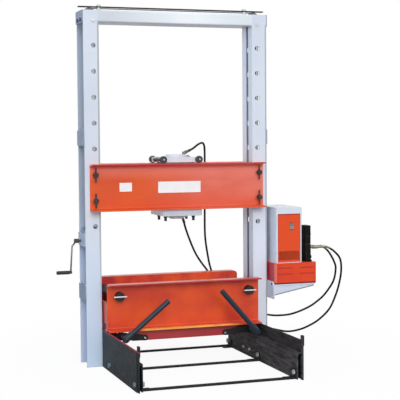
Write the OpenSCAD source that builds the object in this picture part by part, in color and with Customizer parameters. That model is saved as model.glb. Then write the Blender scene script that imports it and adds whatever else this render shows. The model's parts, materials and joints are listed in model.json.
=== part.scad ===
// Roll-bed hydraulic press. Millimetres, Z up.
// X runs along the head, -Y is the operator's side. The origin is on the floor,
// midway between the two uprights and in the middle of their depth.

/* [Frame] */
// Height of the uprights from the floor
frame_h = 2311; // [2000:1:2600]
// Clear width between the uprights
opening_w = 1058; // [1010:1:1120]
// Width of an upright, seen from the front
leg_w = 102; // [96:1:130]
// Depth of an upright, front face to rear face
frame_d = 187; // [178:1:230]
// Thickness of the upright angles
leg_t = 9.5; // [6:0.5:13]
// Depth of the inner flange of each upright angle
flange_d = 76; // [60:1:78]
// Height of the top rail
rail_h = 77; // [60:1:100]
// Wall of the top rail
rail_wall = 6; // [4:0.5:10]
// Thickness of the tie plates across the uprights
tie_t = 6; // [4:0.5:10]
// Height of a tie plate
tie_h = 100; // [60:1:140]
// Height of the lower tie plate's underside
low_tie_z = 433; // [400:1:450]
// Height of the middle tie plate's underside
mid_tie_z = 1440; // [1340:1:1500]

/* [Pin holes] */
// Distance of the pin holes from the upright's inner edge
pin_inset = 36.5; // [32:0.5:44]
// Height of the highest pin hole
pin_top_z = 2085; // [2040:1:2120]
// Distance from one pin hole to the next
pin_pitch = 166.8; // [150:0.2:180]
// Number of pin holes in each upright
pin_rows = 8; // [7:1:8]
// Diameter of the pin holes
pin_hole_d = 32; // [26:0.5:36]
// Radial clearance of a pin in its hole
pin_gap = 0.3; // [0.1:0.05:0.5]

/* [Channels] */
// Height of the rolled channels of the head and the bed
channel_h = 304.8; // [280:0.1:330]
// Flange width of the channels
channel_f = 75; // [60:1:80]
// Web thickness of the channels
channel_web = 8; // [6:0.5:10]
// Flange thickness at the root
channel_root_t = 14; // [11:0.5:16]
// Flange thickness at the toe
channel_toe_t = 9; // [6:0.5:11]

/* [Head] */
// Distance from a head pin to the head's end
head_end = 34.5; // [28:0.5:50]
// Distance from the head's top to its upper pins
head_pin_drop = 69; // [55:1:80]
// Length of the bar through a head pin
pin_bar_l = 96; // [80:1:110]
// Diameter of the bar through a head pin
pin_bar_d = 10; // [8:0.5:14]
// Length of a head pin in front of the front web
pin_front_l = 38; // [30:1:50]
// Length of a head pin behind the rear web
pin_rear_l = 22; // [12:1:40]

/* [Cylinder] */
// Place of the cylinder carriage along the head
carriage_x = 12; // [-100:1:100]
// Outer diameter of the cylinder
cylinder_d = 150; // [130:1:156]
// Diameter of the piston rod
rod_d = 90; // [70:1:100]
// Length of the rod outside the cylinder when it is drawn in
rod_show = 8; // [6:1:30]
// Stroke of the piston rod
ram_stroke = 330; // [200:5:335]
// Thickness of the clamp plate under the head
clamp_t = 42; // [30:1:50]
// Width of the clamp plate
clamp_w = 268; // [240:1:290]
// Depth of the clamp plate
clamp_dep = 304; // [280:1:330]
// Spacing of the clamp studs along the head
stud_span_x = 194; // [188:1:200]
// Spacing of the clamp studs across the head
stud_span_y = 150; // [140:1:156]
// Diameter of the clamp studs
stud_d = 18; // [12:1:20]
// Diameter of the trolley wheels
trolley_wheel_d = 48; // [46:1:58]
// Wheelbase of the trolley
trolley_base = 248; // [238:1:270]
// Width of a trolley wheel
trolley_wheel_w = 22; // [16:1:24]

/* [Bed] */
// Clearance between the bed and an upright
bed_gap = 8; // [7:0.5:12]
// Depth of the bed between its two webs
bed_d = 392; // [350:1:410]
// Height of the bed's underside
bed_z = 247; // [246:1:250]
// Thickness of the bed's end plates
bed_end_t = 12; // [8:0.5:16]
// Distance of the bed pins from the uprights
bed_pin_inset = 84; // [80:1:96]
// Height of the bed pins
bed_pin_z = 472; // [440:1:490]
// Diameter of the bed pins
bed_pin_d = 60; // [50:1:70]
// Length of a bed pin in front of the front web
bed_pin_show = 46; // [40:1:70]
// Corner radius of the rear channel's top ends
bed_corner_r = 24; // [15:1:40]
// Diameter of the bed wheels
bed_wheel_d = 76; // [70:1:78]
// Width of a bed wheel
bed_wheel_w = 24; // [16:1:24]
// Length of the lift bar under the front channel
lift_bar_l = 720; // [640:1:740]

/* [Levers] */
// Length of a lever's tube
lever_l = 371; // [300:1:380]
// Diameter of a lever
lever_d = 33; // [28:1:38]
// Angle of a lever from upright, towards the middle
lever_lean = 51; // [45:1:55]
// Angle of the right-hand lever from upright, towards the middle
right_lever_lean = 41; // [36:1:50]
// Distance of the lever shafts from the uprights
lever_inset = 84; // [76:1:92]
// Height of the lever shafts
lever_z = 215; // [212:1:218]

/* [Track] */
// Length of the track behind the middle of the frame
track_rear = 300; // [250:1:360]
// Length of the track in front of the middle of the frame
track_front = 915; // [880:1:1000]
// Height of the track's outer plate
track_h = 243; // [225:1:245]
// Height of the wheel ledge
ledge_z = 167; // [164:1:169]
// Width of the wheel ledge
ledge_w = 29; // [28:1:32]
// Thickness of the track's outer plate
track_t = 10; // [8:0.5:11]
// Thickness of the wheel ledge
ledge_t = 10; // [6:0.5:12]
// Thickness of the track's inner plate
track_in_t = 8; // [6:0.5:10]
// Height of the stop posts
stop_h = 275; // [262:1:300]

/* [Winch] */
// Height of the crank shaft
crank_z = 818; // [780:1:860]
// Distance of the crank shaft behind the middle
crank_y = 29; // [26:1:32]
// Radius of the crank
crank_r = 206; // [150:1:230]
// Diameter of the crank rod
crank_rod_d = 11; // [9:0.5:14]
// Length of the crank's grip
grip_l = 88; // [70:1:110]
// Diameter of the grip
grip_d = 24; // [20:0.5:30]
// Diameter of the winch drum
drum_d = 44; // [38:1:46]
// Diameter of the wire rope
rope_d = 6; // [4:0.5:7]
// Diameter of the sheaves at the rope's centre line
sheave_pitch_d = 72; // [64:1:74]

/* [Pump] */
// Width of the pump's tank
tank_w = 309; // [280:1:340]
// Depth of the pump's tank
tank_dep = 400; // [360:1:440]
// Height of the pump's tank
tank_h = 143; // [120:1:160]
// Height of the bracket's shelf
shelf_z = 493; // [490:1:505]
// Thickness of the bracket's sheet
bracket_t = 8; // [5:0.5:10]
// Width of the motor cover
cover_w = 188; // [170:1:200]
// Depth of the motor cover
cover_dep = 350; // [300:1:360]
// Height of the motor cover
cover_h = 376; // [320:1:400]
// Wall of the motor cover
cover_wall = 3; // [2:0.5:5]
// Number of slots in the grille
grille_slots = 20; // [12:1:24]

/* [Hoses] */
// Diameter of the hydraulic hoses
hose_d = 14; // [10:0.5:15]

/* [Hidden] */
$fn = 48;
sliver = 0.3; // gap between curved faces that run on each other
through = 2;  // how far a cut runs past the face that it opens

// Paint and metal
frame_paint = [0.80, 0.84, 0.90];
orange_paint = [0.87, 0.33, 0.17];
red_paint = [0.62, 0.16, 0.16];
black_steel = [0.16, 0.16, 0.17];
bright_steel = [0.78, 0.79, 0.80];
cast_grey = [0.85, 0.86, 0.90];
lever_paint = [0.19, 0.26, 0.29];
rubber_black = [0.07, 0.07, 0.07];
brass_tan = [0.66, 0.62, 0.50];

// Frame
in_x = opening_w / 2;
out_x = in_x + leg_w;
half_d = frame_d / 2;
leg_root_r = 10;
slit_half = half_d - flange_d;
pin_x = in_x + pin_inset;
rail_bottom_z = frame_h - rail_h;
rail_corner_r = 10;
bolt_d = 12;
bolt_af = 19;
bolt_head_t = 8;

// Head: the upper pins sit in the sixth hole from the top
head_row = 5;
head_half = pin_x + head_end;
head_corner_r = 10;
upper_pin_z = pin_top_z - head_row * pin_pitch;
lower_pin_z = upper_pin_z - pin_pitch;
head_top = upper_pin_z + head_pin_drop;
head_bottom = head_top - channel_h;
web_face = half_d + channel_web;
toe_face = half_d + channel_f;
channel_fillet = 9;
pin_d = pin_hole_d - 2 * pin_gap;
pin_collar_d = pin_d + 14;
pin_collar_t = 8;
spacer_t = 12;
spacer_x = in_x - 18 - spacer_t / 2;
spacer_low = (upper_pin_z + lower_pin_z) / 2 - 76;
spacer_high = spacer_low + 131;
lug_t = 12;
lug_low = spacer_low + 15;
lug_high = spacer_high + 10;
lug_pin_d = 8;
lug_pin_z = lug_high - 13;

// Ropes and sheaves
rope_r = rope_d / 2;
sheave_r = sheave_pitch_d / 2;
sheave_rim_r = sheave_r + 4;
sheave_w = 22;
rope_y = 5;
rope_out_x = out_x - 25;
sheave_x = rope_out_x - sheave_r;
rope_in_x = sheave_x - sheave_r;
sheave_z = frame_h - 17;
sheave_bore_d = 16.1;
axle_d = 16;
yoke_t = 5;
yoke_gap = 1;
yoke_y = sheave_w / 2 + yoke_gap;
yoke_low = rail_bottom_z - 4;
yoke_bolt_z = rail_bottom_z + 11;
keeper_w = 30;
keeper_t = 7;
keeper_z = sheave_z + sheave_rim_r + 2;
keeper_out_x = out_x + 11;
keeper_post_x = in_x - 23;
keeper_post_y = -1;
keeper_post_d = 26;
fork_d = 16;
fork_t = 5;
fork_gap = 0.5;
terminal_top = lug_high + 44;

// Winch
drum_wrap_r = drum_d / 2 + rope_d;
drum_x = rope_out_x - drum_d / 2 - rope_r - sliver;
drum_z = crank_z + 46;
drum_y0 = -46;
drum_y1 = 9;
drum_rim_t = 3;
drum_rim_r = drum_wrap_r + 3;
drum_shaft_d = 16;
cheek_t = 8;
crank_plate_low = crank_z - 32;
crank_plate_h = 86;
front_cheek_y = drum_y0 - drum_rim_t - 1 - cheek_t;
rear_cheek_y = crank_y + 21;
cheek_low = crank_z - 33;
cheek_high = drum_z + 41;
winch_base_t = 8;
winch_base_x = in_x + leg_t;
case_y0 = drum_y1 + drum_rim_t + 1;
case_x1 = out_x - 13;
shaft_gap = 0.05;
crank_shaft_d = 14;
crank_hub_x0 = out_x + 19;
crank_hub_x1 = crank_hub_x0 + 30;
crank_bend_x = crank_hub_x1 + 15;
crank_bend_drop = 35;
crank_end_x = crank_bend_x + 11;
grip_x0 = crank_end_x + crank_rod_d / 2 + 1;

// Carriage
trolley_wheel_z = head_top + trolley_wheel_d / 2;
trolley_wheel_y = half_d + 20;
trolley_plate_low = head_top + 5;
trolley_plate_t = 35;
trolley_plate_high = trolley_plate_low + trolley_plate_t;
trolley_plate_l = trolley_base - 22;
trolley_plate_dep = 2 * trolley_wheel_y - 4;
trolley_axle_d = 18;
clamp_high = head_bottom - sliver;
clamp_low = clamp_high - clamp_t;
stud_nut_af = 22;
stud_nut_t = 14;
stud_low = clamp_low - 36;
stud_high = trolley_plate_high - 1;
stud_clear = 0.3;
cylinder_low = clamp_low - 14;
cylinder_high = trolley_plate_high + 17;
rod_cavity_h = ram_stroke + 22;
rod_gap = 0.3;
cylinder_collar_r = cylinder_d / 2 + 6;
cap_r = cylinder_d / 2 - 10;
gland_r = rod_d / 2 + 11;
gland_t = 4;
fitting_d = 16;
fitting_l = 36;
fitting_block = 24;
gland_port = [61, 60];

// Bed
bed_half = in_x - bed_gap;
bed_pin_x = in_x - bed_pin_inset;
bed_top = bed_z + channel_h;
bed_web = bed_d / 2;
bed_web_face = bed_web + channel_web;
bed_toe = bed_web + channel_f;
bed_wheel_y = bed_web - 34;
bed_wheel_z = ledge_z + bed_wheel_d / 2;
bed_axle_d = 30;
bed_wheel_x1 = in_x - track_t - 3;
bed_wheel_x0 = bed_wheel_x1 - bed_wheel_w;
block_x1 = in_x - track_t - ledge_w - 5;
block_x0 = block_x1 - 28;
block_dep = 66;
block_low = bed_wheel_z - 26;
block_high = bed_z + 44;
bed_spreader_t = 12;
bed_spreader_x = bed_pin_x - bed_pin_d / 2 - 4.5 - bed_spreader_t;
bed_spreader_low = bed_z + 30;
bed_spreader_high = bed_pin_z + 8;
bed_end_high = bed_pin_z - bed_pin_d / 2 - 12;
bed_rib_w = 26;
bed_rib_t = 6;
bed_pin_gap = 0.3;
bed_rod_l = 84;
bed_rod_d = 9;
lift_bar_t = 15;
lift_bar_low = bed_z - 69;
lift_bar_y = bed_web_face + lift_bar_t;
arm_t = 12;
arm_y = lift_bar_y + arm_t;
arm_in_x = 276;
arm_in_z = lift_bar_low + 18;
arm_in_r = 18;
arm_out_r = 26;
pad_t = 5;

// Levers
lever_x = in_x - lever_inset;
lever_shaft_d = 30;
lever_front_y = bed_toe + 94;
lever_socket_d = lever_d + 12;
lever_socket_l = 52;

// Track
ledge_in_x = in_x - track_t - ledge_w;
tie_y = 285;
front_tie_y = track_front - 30;
tie_bar = 20;
tie_bar_h = 14;
clip_t = 6;
clip_leg = 60;
clip_ahead = 60;
clip_h = 58;
anchor_d = 14;
anchor_x = ledge_in_x - 35;
anchor_ahead = 35;
clip_bolt_z = 42;
track_bolt_z = 51;
track_bolt_y = 57;
track_bolt_mid = -68;
clip_bolt_af = 27;
stop_w = 9;
stop_dep = 24;
stop_head_w = 13;
stop_head_dep = 28;
stop_head_z = stop_h - 63;

// Pump
bracket_x = out_x;
tank_x0 = bracket_x + bracket_t + 1;
tank_x1 = tank_x0 + tank_w;
tank_y0 = -tank_dep / 2 - 9;
tank_y1 = tank_y0 + tank_dep;
tank_top = shelf_z + tank_h;
tank_corner_r = 18;
rib_d = 9;
rib_inset = 25;
rib_l = 100;
rib_z1 = tank_top - 31;
rib_z2 = tank_top - 71;
bracket_low = shelf_z - 97;
bracket_high = shelf_z + 20;
bracket_cut = 24;
bracket_taper = 74;
bracket_tip = 20;
cover_x0 = tank_x0 + 16;
cover_x1 = cover_x0 + cover_w;
cover_y0 = tank_y0 + 9;
cover_y1 = cover_y0 + cover_dep;
cover_top = tank_top + cover_h;
cover_corner_r = 8;
panel_side = 11;
panel_low = tank_top + 4;
panel_high = cover_top - 43;
panel_t = 3;
panel_y = cover_y0 + cover_wall;
grille_low = tank_top + 19;
grille_high = tank_top + 80;
grille_side = 8;
slot_share = 0.5;
switch_w = 28;
switch_h = 42;
switch_x = cover_x0 + 115;
switch_z = tank_top + 248;
switch_y = panel_y + 9;
switch_pin_d = 4;
switch_ear_t = 4;
valve_x0 = tank_x1 - 72;
valve_x1 = tank_x1 - 35;
valve_y0 = tank_y0 + 19;
valve_y1 = tank_y0 + 149;
valve_mid_z = tank_top + 122;
valve_top = tank_top + 246;
coil_x0 = valve_x0 + 4;
coil_w = 45;
plug_d = 30;
plug_l = 11;
coupler_z = tank_top + 95;
advance_coupler_y = tank_y0 + 71;
return_coupler_y = tank_y0 + 97;
advance_coupler_x = valve_x1 + 96;
return_coupler_x = valve_x1 + 84;
coupler_l = 60;

// Hose routes, from the cylinder to the pump. The first points move with the
// carriage's place, the last ones with the pump's.
advance_points = [
    [100, 16, 1396], [128, 36, 1405], [156, 58, 1416], [205, 100, 1441], [240, 134, 1451],
    [264, 160, 1447], [283, 190, 1416], [290, 207, 1332], [288, 210, 1158], [289, 212, 986],
    [295, 226, 808], [321, 253, 676], [361, 293, 555], [437, 327, 381], [559, 334, 230],
    [700, 302, 140], [838, 260, 104], [922, 225, 90], [1001, 190, 106], [1056, 142, 140],
    [1109, 98, 186], [1164, 50, 262], [1190, 10, 351], [1203, -30, 448], [1202, -68, 548],
    [1179, -100, 634], [1129, -122, 687], [1079, -135, 719], [1044, -138, 731],
    [1010, -138, 731]
];
return_points = [
    [84, 72, 936], [94, 82, 914], [110, 100, 874], [150, 142, 796], [211, 200, 693],
    [271, 255, 620], [339, 307, 548], [433, 341, 429], [556, 340, 299], [680, 312, 232],
    [783, 276, 212], [852, 246, 207], [943, 202, 220], [1045, 150, 268], [1105, 108, 320],
    [1144, 72, 372], [1183, 20, 466], [1178, -30, 560], [1152, -60, 612], [1109, -90, 668],
    [1069, -109, 708], [1030, -112, 731], [998, -112, 731]
];
hose_start = [carriage_x - 12, 0, head_top - 1320];
advance_end = [advance_coupler_x - 1010, advance_coupler_y + 138, coupler_z - 731];
return_end = [return_coupler_x - 998, return_coupler_y + 112, coupler_z - 731];
advance_route = moved(advance_points, hose_start, advance_end);
return_route = moved(return_points, hose_start, return_end);
hose_rings = 1.55; // rings for each point of a route
hose_sides = 8;

// ---------- general shapes ----------

// A section drawn in (y, z), run along X and centred on x = 0
module along_x(len) {
    rotate([90, 0, 90]) linear_extrude(len, center = true) children();
}

// A section drawn in (x, z), run along Y from y0 to y1
module along_y(y0, y1) {
    translate([0, y1, 0]) rotate([90, 0, 0]) linear_extrude(y1 - y0) children();
}

// A cylinder along X from x0 to x1
module rod_x(x0, x1, d) {
    translate([x0, 0, 0]) rotate([0, 90, 0]) cylinder(d = d, h = x1 - x0);
}

// A cylinder along Y from y0 to y1
module rod_y(y0, y1, d) {
    translate([0, y0, 0]) rotate([-90, 0, 0]) cylinder(d = d, h = y1 - y0);
}

// A cylinder between two points
module rod_between(from, to, d) {
    run = to - from;
    translate(from) rotate([0, acos(run[2] / norm(run)), atan2(run[1], run[0])])
        cylinder(d = d, h = norm(run));
}

// A plain block between two corners
module block(low, high) {
    translate(low) cube(high - low);
}

// A hexagon across its flats
module hexagon(af) {
    circle(d = af / cos(30), $fn = 6);
}

// A rectangle with round corners, centred
module round_rect(w, h, r) {
    square([w - 2 * r, h], center = true);
    square([w, h - 2 * r], center = true);
    for (sx = [-1, 1], sy = [-1, 1])
        translate([sx * (w / 2 - r), sy * (h / 2 - r)]) circle(r);
}

// The fillet in an inner corner at the origin, filling towards +x +y
module inner_fillet(r) {
    difference() {
        square(r);
        translate([r, r]) circle(r);
    }
}

// A bolt head along +X from the origin, on its washer
module bolt_x(af) {
    rod_x(0, 2, af + 5);
    translate([2, 0, 0]) rotate([0, 90, 0]) linear_extrude(bolt_head_t) hexagon(af);
}

// A copy at each side, mirrored for the left one
module both_sides() {
    children();
    mirror([1, 0, 0]) children();
}

// The rolled channel: web on x = 0, flanges towards +x, standing on y = 0
module channel_section() {
    difference() {
        square([channel_f, channel_h]);
        polygon([
            [channel_web, channel_root_t],
            [channel_f + through, channel_toe_t],
            [channel_f + through, channel_h - channel_toe_t],
            [channel_web, channel_h - channel_root_t]
        ]);
    }
    translate([channel_web, channel_root_t - 1]) inner_fillet(channel_fillet);
    translate([channel_web, channel_h - channel_root_t + 1]) mirror([0, 1])
        inner_fillet(channel_fillet);
}

// ---------- frame ----------

// One angle of the right-hand front upright, with its row of pin holes
module upright_angle() {
    difference() {
        union() {
            block([in_x, -half_d, 0], [out_x, -half_d + leg_t, frame_h]);
            block([in_x, -half_d, 0], [in_x + leg_t, -slit_half, frame_h]);
            translate([in_x + leg_t, -half_d + leg_t, 0])
                linear_extrude(frame_h) inner_fillet(leg_root_r);
        }
        for (i = [0 : pin_rows - 1])
            translate([pin_x, 0, pin_top_z - i * pin_pitch])
                rod_y(-half_d - through, 0, pin_hole_d);
        translate([pin_x, 0, yoke_bolt_z]) rod_y(-half_d - through, 0, bolt_d + 1);
    }
}

module right_front_upright() {
    color(frame_paint) upright_angle();
}

module right_rear_upright() {
    color(frame_paint) mirror([0, 1, 0]) upright_angle();
}

module left_front_upright() {
    color(frame_paint) mirror([1, 0, 0]) upright_angle();
}

module left_rear_upright() {
    color(frame_paint) mirror([1, 0, 0]) mirror([0, 1, 0]) upright_angle();
}

// A flat plate across the open side of the right-hand upright
module tie_plate(z0, z1) {
    bevel = 8;
    translate([out_x + tie_t / 2, 0, 0]) rotate([90, 0, 90])
        linear_extrude(tie_t, center = true) polygon([
            [-half_d, z0 + bevel], [-half_d + bevel, z0], [half_d - bevel, z0],
            [half_d, z0 + bevel], [half_d, z1], [-half_d, z1]
        ]);
}

module tie_plates() {
    color(frame_paint) {
        both_sides() {
            tie_plate(rail_bottom_z - 4, frame_h);
            tie_plate(mid_tie_z, mid_tie_z + tie_h);
        }
        mirror([1, 0, 0]) tie_plate(low_tie_z, low_tie_z + tie_h);
        mirror([1, 0, 0]) difference() {
            tie_plate(crank_plate_low, crank_plate_low + crank_plate_h);
            translate([0, crank_y, crank_z]) rod_x(out_x - through, out_x + tie_t + through,
                                                   crank_shaft_d + 2 * sliver);
        }
    }
}

module top_rail() {
    color(frame_paint) translate([0, 0, frame_h - rail_h / 2]) along_x(opening_w) difference() {
        round_rect(frame_d, rail_h, rail_corner_r);
        round_rect(frame_d - 2 * rail_wall, rail_h - 2 * rail_wall, rail_corner_r - rail_wall);
    }
}

// The two cheeks that carry a sheave's axle, each with a foot on an inner flange
module sheave_yoke() {
    cheek_half = 18;
    foot_y = slit_half + 44;
    foot_x = in_x + leg_t;
    for (side = [-1, 1]) scale([1, side, 1]) difference() {
        union() {
            translate([sheave_x, 0, 0]) along_y(yoke_y, yoke_y + yoke_t) {
                translate([-cheek_half, yoke_low]) square([2 * cheek_half, sheave_z - yoke_low]);
                translate([0, sheave_z]) circle(cheek_half);
            }
            block([foot_x, yoke_y, yoke_low],
                  [sheave_x - cheek_half + 1, yoke_y + yoke_t, yoke_low + 60]);
            block([foot_x, yoke_y, yoke_low], [foot_x + yoke_t, foot_y, yoke_low + 60]);
        }
        translate([sheave_x, 0, sheave_z])
            rod_y(0, yoke_y + yoke_t + through, axle_d + 2 * shaft_gap);
        translate([pin_x, 0, yoke_bolt_z])
            rod_y(0, yoke_y + yoke_t + through, bolt_d + 2 * sliver);
    }
}

// The strap over the sheaves that keeps the ropes in their grooves
module rope_keeper() {
    block([-keeper_out_x, -keeper_w / 2, keeper_z],
          [keeper_out_x, keeper_w / 2, keeper_z + keeper_t]);
}

module sheave_brackets() {
    color(black_steel) {
        both_sides() sheave_yoke();
        rope_keeper();
    }
}

// An arc of rope about a sheave, in the XZ plane, counted from +X up to +Z
module rope_arc(from, sweep) {
    rotate([90, 0, 0]) rotate([0, 0, from])
        rotate_extrude(angle = sweep) translate([sheave_r, 0]) circle(rope_r, $fn = 24);
}

module rope_fall(x, z0, z1) {
    translate([x, 0, z0]) cylinder(r = rope_r, h = z1 - z0, $fn = 24);
}

// From the drum over the left sheave to the head's left lug
module short_lift_rope() {
    color(black_steel) translate([0, -rope_y, 0]) {
        rope_fall(-rope_out_x, drum_z, sheave_z);
        translate([-sheave_x, 0, sheave_z]) rope_arc(0, 180);
        rope_fall(-rope_in_x, lug_high + 21, sheave_z);
    }
}

// From the drum over both sheaves to the head's right lug
module long_lift_rope() {
    color(black_steel) translate([0, rope_y, 0]) {
        rope_fall(-rope_out_x, drum_z, sheave_z);
        translate([-sheave_x, 0, sheave_z]) rope_arc(90, 90);
        translate([0, 0, sheave_z + sheave_r]) rod_x(-sheave_x, sheave_x, rope_d, $fn = 24);
        translate([sheave_x, 0, sheave_z]) rope_arc(0, 90);
        rope_fall(rope_out_x, lug_high + 21, sheave_z);
    }
}

// A fork with a swaged sleeve, pinned to a lug
module rope_terminal(x, y) {
    prong_y = lug_t / 2 + fork_gap;
    pin_half = prong_y + fork_t + 0.5;
    translate([x, y, 0]) {
        difference() {
            translate([0, 0, lug_high + 3]) cylinder(d = fork_d, h = terminal_top - lug_high - 3);
            translate([0, 0, lug_high + 20]) cylinder(r = rope_r + sliver, h = 60);
        }
        for (side = [-1, 1]) scale([1, side, 1]) {
            block([-7, prong_y, lug_pin_z - 8], [7, prong_y + fork_t, lug_high + 3]);
            block([-7, 0, lug_high + 3], [7, prong_y + fork_t, lug_high + 9]);
        }
        translate([0, 0, lug_pin_z]) rod_y(-pin_half, pin_half, lug_pin_d);
    }
}

module rope_terminals() {
    color(bright_steel) {
        rope_terminal(-rope_in_x, -rope_y);
        rope_terminal(rope_out_x, rope_y);
    }
}

// ---------- winch ----------

module winch_frame() {
    cheek_out = out_x - 5;
    color(black_steel) mirror([1, 0, 0]) difference() {
        union() {
            block([winch_base_x, -half_d + leg_t + leg_root_r + 2, cheek_low],
                  [winch_base_x + winch_base_t, half_d - leg_t - leg_root_r - 2, cheek_high]);
            for (y = [front_cheek_y, rear_cheek_y])
                block([winch_base_x + winch_base_t, y, cheek_low], [cheek_out, y + cheek_t, cheek_high]);
        }
        translate([drum_x, 0, drum_z])
            rod_y(front_cheek_y - through, rear_cheek_y + cheek_t + through, drum_shaft_d + 2 * shaft_gap);
        for (y = [-62, 62]) translate([0, y, crank_z])
            rod_x(winch_base_x - through, winch_base_x + winch_base_t + through, bolt_d);
    }
}

// Closed worm-gear case between the drum and the rear cheek
module winch_gear_case() {
    gear_r = 34;
    color(cast_grey) mirror([1, 0, 0]) difference() {
        union() {
            translate([drum_x, 0, drum_z]) rod_y(case_y0, rear_cheek_y, 2 * gear_r);
            block([winch_base_x + winch_base_t, case_y0, crank_z - 18],
                  [case_x1, rear_cheek_y, drum_z - 10]);
            translate([0, crank_y, crank_z]) rod_x(case_x1, case_x1 + 8, 34);
        }
        translate([drum_x, 0, drum_z])
            rod_y(case_y0 - through, rear_cheek_y + through, drum_shaft_d + 2 * shaft_gap);
        translate([0, crank_y, crank_z])
            rod_x(winch_base_x + 20, case_x1 + 8 + through, crank_shaft_d + 2 * shaft_gap);
    }
}

// Drum with its shaft, rims and the rope wound on it beside the two falls
module winch_drum() {
    wraps = [-11.5, -18, -24.5, -31, -37.5];
    rim0 = drum_y0 - drum_rim_t;
    color(black_steel) translate([-drum_x, 0, drum_z]) {
        rod_y(front_cheek_y - 4, rear_cheek_y + cheek_t + 4, drum_shaft_d);
        rotate([-90, 0, 0]) rotate_extrude() {
            translate([0, rim0]) square([drum_d / 2, drum_y1 + drum_rim_t - rim0]);
            translate([0, rim0]) square([drum_rim_r, drum_rim_t]);
            translate([0, drum_y1]) square([drum_rim_r, drum_rim_t]);
            for (y = wraps) translate([drum_d / 2 + rope_r - 0.5, y]) circle(rope_r, $fn = 24);
        }
    }
}

module crank() {
    bend = [crank_bend_x, 0, -crank_bend_drop];
    foot = [crank_end_x, 0, -crank_r];
    color(black_steel) mirror([1, 0, 0]) translate([0, crank_y, crank_z]) {
        rod_x(winch_base_x + 21, crank_hub_x1, crank_shaft_d);
        rod_x(crank_hub_x0, crank_hub_x1, 28);
        rod_between([crank_hub_x1 - 10, 0, -4], bend, crank_rod_d);
        translate(bend) sphere(d = crank_rod_d + 0.8);
        rod_between(bend, foot, crank_rod_d);
        translate([0, 0, -crank_r]) {
            rod_x(crank_end_x - 8, crank_end_x + 5, crank_rod_d + 7);
            rod_x(crank_end_x, grip_x0 + grip_l - 4, crank_rod_d);
        }
    }
}

module crank_grip() {
    grip_r = grip_d / 2;
    bore_r = crank_rod_d / 2 + sliver;
    color(rubber_black) mirror([1, 0, 0]) translate([grip_x0, crank_y, crank_z - crank_r])
        rotate([0, 90, 0]) rotate_extrude() difference() {
            union() {
                translate([0, 3]) square([grip_r, grip_l - 9]);
                square([grip_r - 3, 6]);
                translate([grip_r - 3, 3]) circle(3);
                square([grip_r - 6, grip_l]);
                translate([grip_r - 6, grip_l - 6]) circle(6);
            }
            translate([-grip_d, -through]) square([grip_d + bore_r, grip_l - 2 + through]);
            translate([-grip_d, -through]) square([grip_d, grip_l + 2 * through]);
        }
}

// ---------- sheaves ----------

module sheave() {
    color(black_steel) translate([sheave_x, sheave_w / 2, sheave_z]) rotate([90, 0, 0])
        rotate_extrude() difference() {
            translate([sheave_bore_d / 2, 0]) square([sheave_rim_r - sheave_bore_d / 2, sheave_w]);
            for (side = [-1, 1]) translate([sheave_r, sheave_w / 2 + side * rope_y]) {
                circle(rope_r + sliver, $fn = 24);
                translate([0, -rope_r - sliver]) square([sheave_r, rope_d + 2 * sliver]);
            }
        }
}

module right_sheave() {
    sheave();
}

module left_sheave() {
    mirror([1, 0, 0]) sheave();
}

// ---------- head ----------

module pin_places() {
    for (side = [-1, 1], z = [upper_pin_z, lower_pin_z]) translate([side * pin_x, 0, z])
        children();
}

// The rear channel of the head; the front one is its mirror
module head_channel(collar_t) {
    difference() {
        union() {
            intersection() {
                translate([0, half_d, head_bottom]) along_x(2 * head_half) channel_section();
                translate([0, 0, head_bottom + channel_h / 2])
                    along_y(half_d - 1, toe_face + 1)
                    round_rect(2 * head_half, channel_h, head_corner_r);
            }
            if (collar_t > 0) pin_places() rod_y(web_face, web_face + collar_t, pin_collar_d);
        }
        pin_places() rod_y(half_d - through, web_face + collar_t + through, pin_hole_d);
    }
}

module head_front_channel() {
    color(orange_paint) mirror([0, 1, 0]) head_channel(pin_collar_t);
}

module head_rear_channel() {
    color(orange_paint) head_channel(0);
}

// The plate between the channels, with the lug that takes a rope's end
module head_spacer(rope_x, y) {
    difference() {
        union() {
            block([spacer_x, -half_d, spacer_low], [spacer_x + spacer_t, half_d, spacer_high]);
            block([spacer_x + spacer_t, y - lug_t / 2, lug_low],
                  [rope_x + 10, y + lug_t / 2, lug_high]);
        }
        translate([rope_x, 0, lug_pin_z]) rod_y(y - lug_t, y + lug_t, lug_pin_d + 2 * sliver);
    }
}

module head_spacers() {
    color(orange_paint) {
        head_spacer(rope_out_x, rope_y);
        mirror([1, 0, 0]) head_spacer(rope_in_x, -rope_y);
    }
}

module head_pin(side, z) {
    tip = 4;
    front = -web_face - pin_front_l;
    rear = web_face + pin_rear_l;
    color(black_steel) translate([side * pin_x, 0, z]) {
        rod_y(front, rear - tip, pin_d);
        translate([0, rear - tip, 0]) rotate([-90, 0, 0])
            cylinder(d1 = pin_d, d2 = pin_d - 2 * tip, h = tip);
        translate([0, front + 15, -pin_bar_l / 2]) cylinder(d = pin_bar_d, h = pin_bar_l);
    }
}

module upper_left_head_pin() {
    head_pin(-1, upper_pin_z);
}

module lower_left_head_pin() {
    head_pin(-1, lower_pin_z);
}

module upper_right_head_pin() {
    head_pin(1, upper_pin_z);
}

module lower_right_head_pin() {
    head_pin(1, lower_pin_z);
}

// ---------- cylinder carriage ----------

module on_carriage() {
    translate([carriage_x, 0, 0]) children();
}

module stud_places() {
    for (sx = [-1, 1], sy = [-1, 1]) translate([sx * stud_span_x / 2, sy * stud_span_y / 2, 0])
        children();
}

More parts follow.
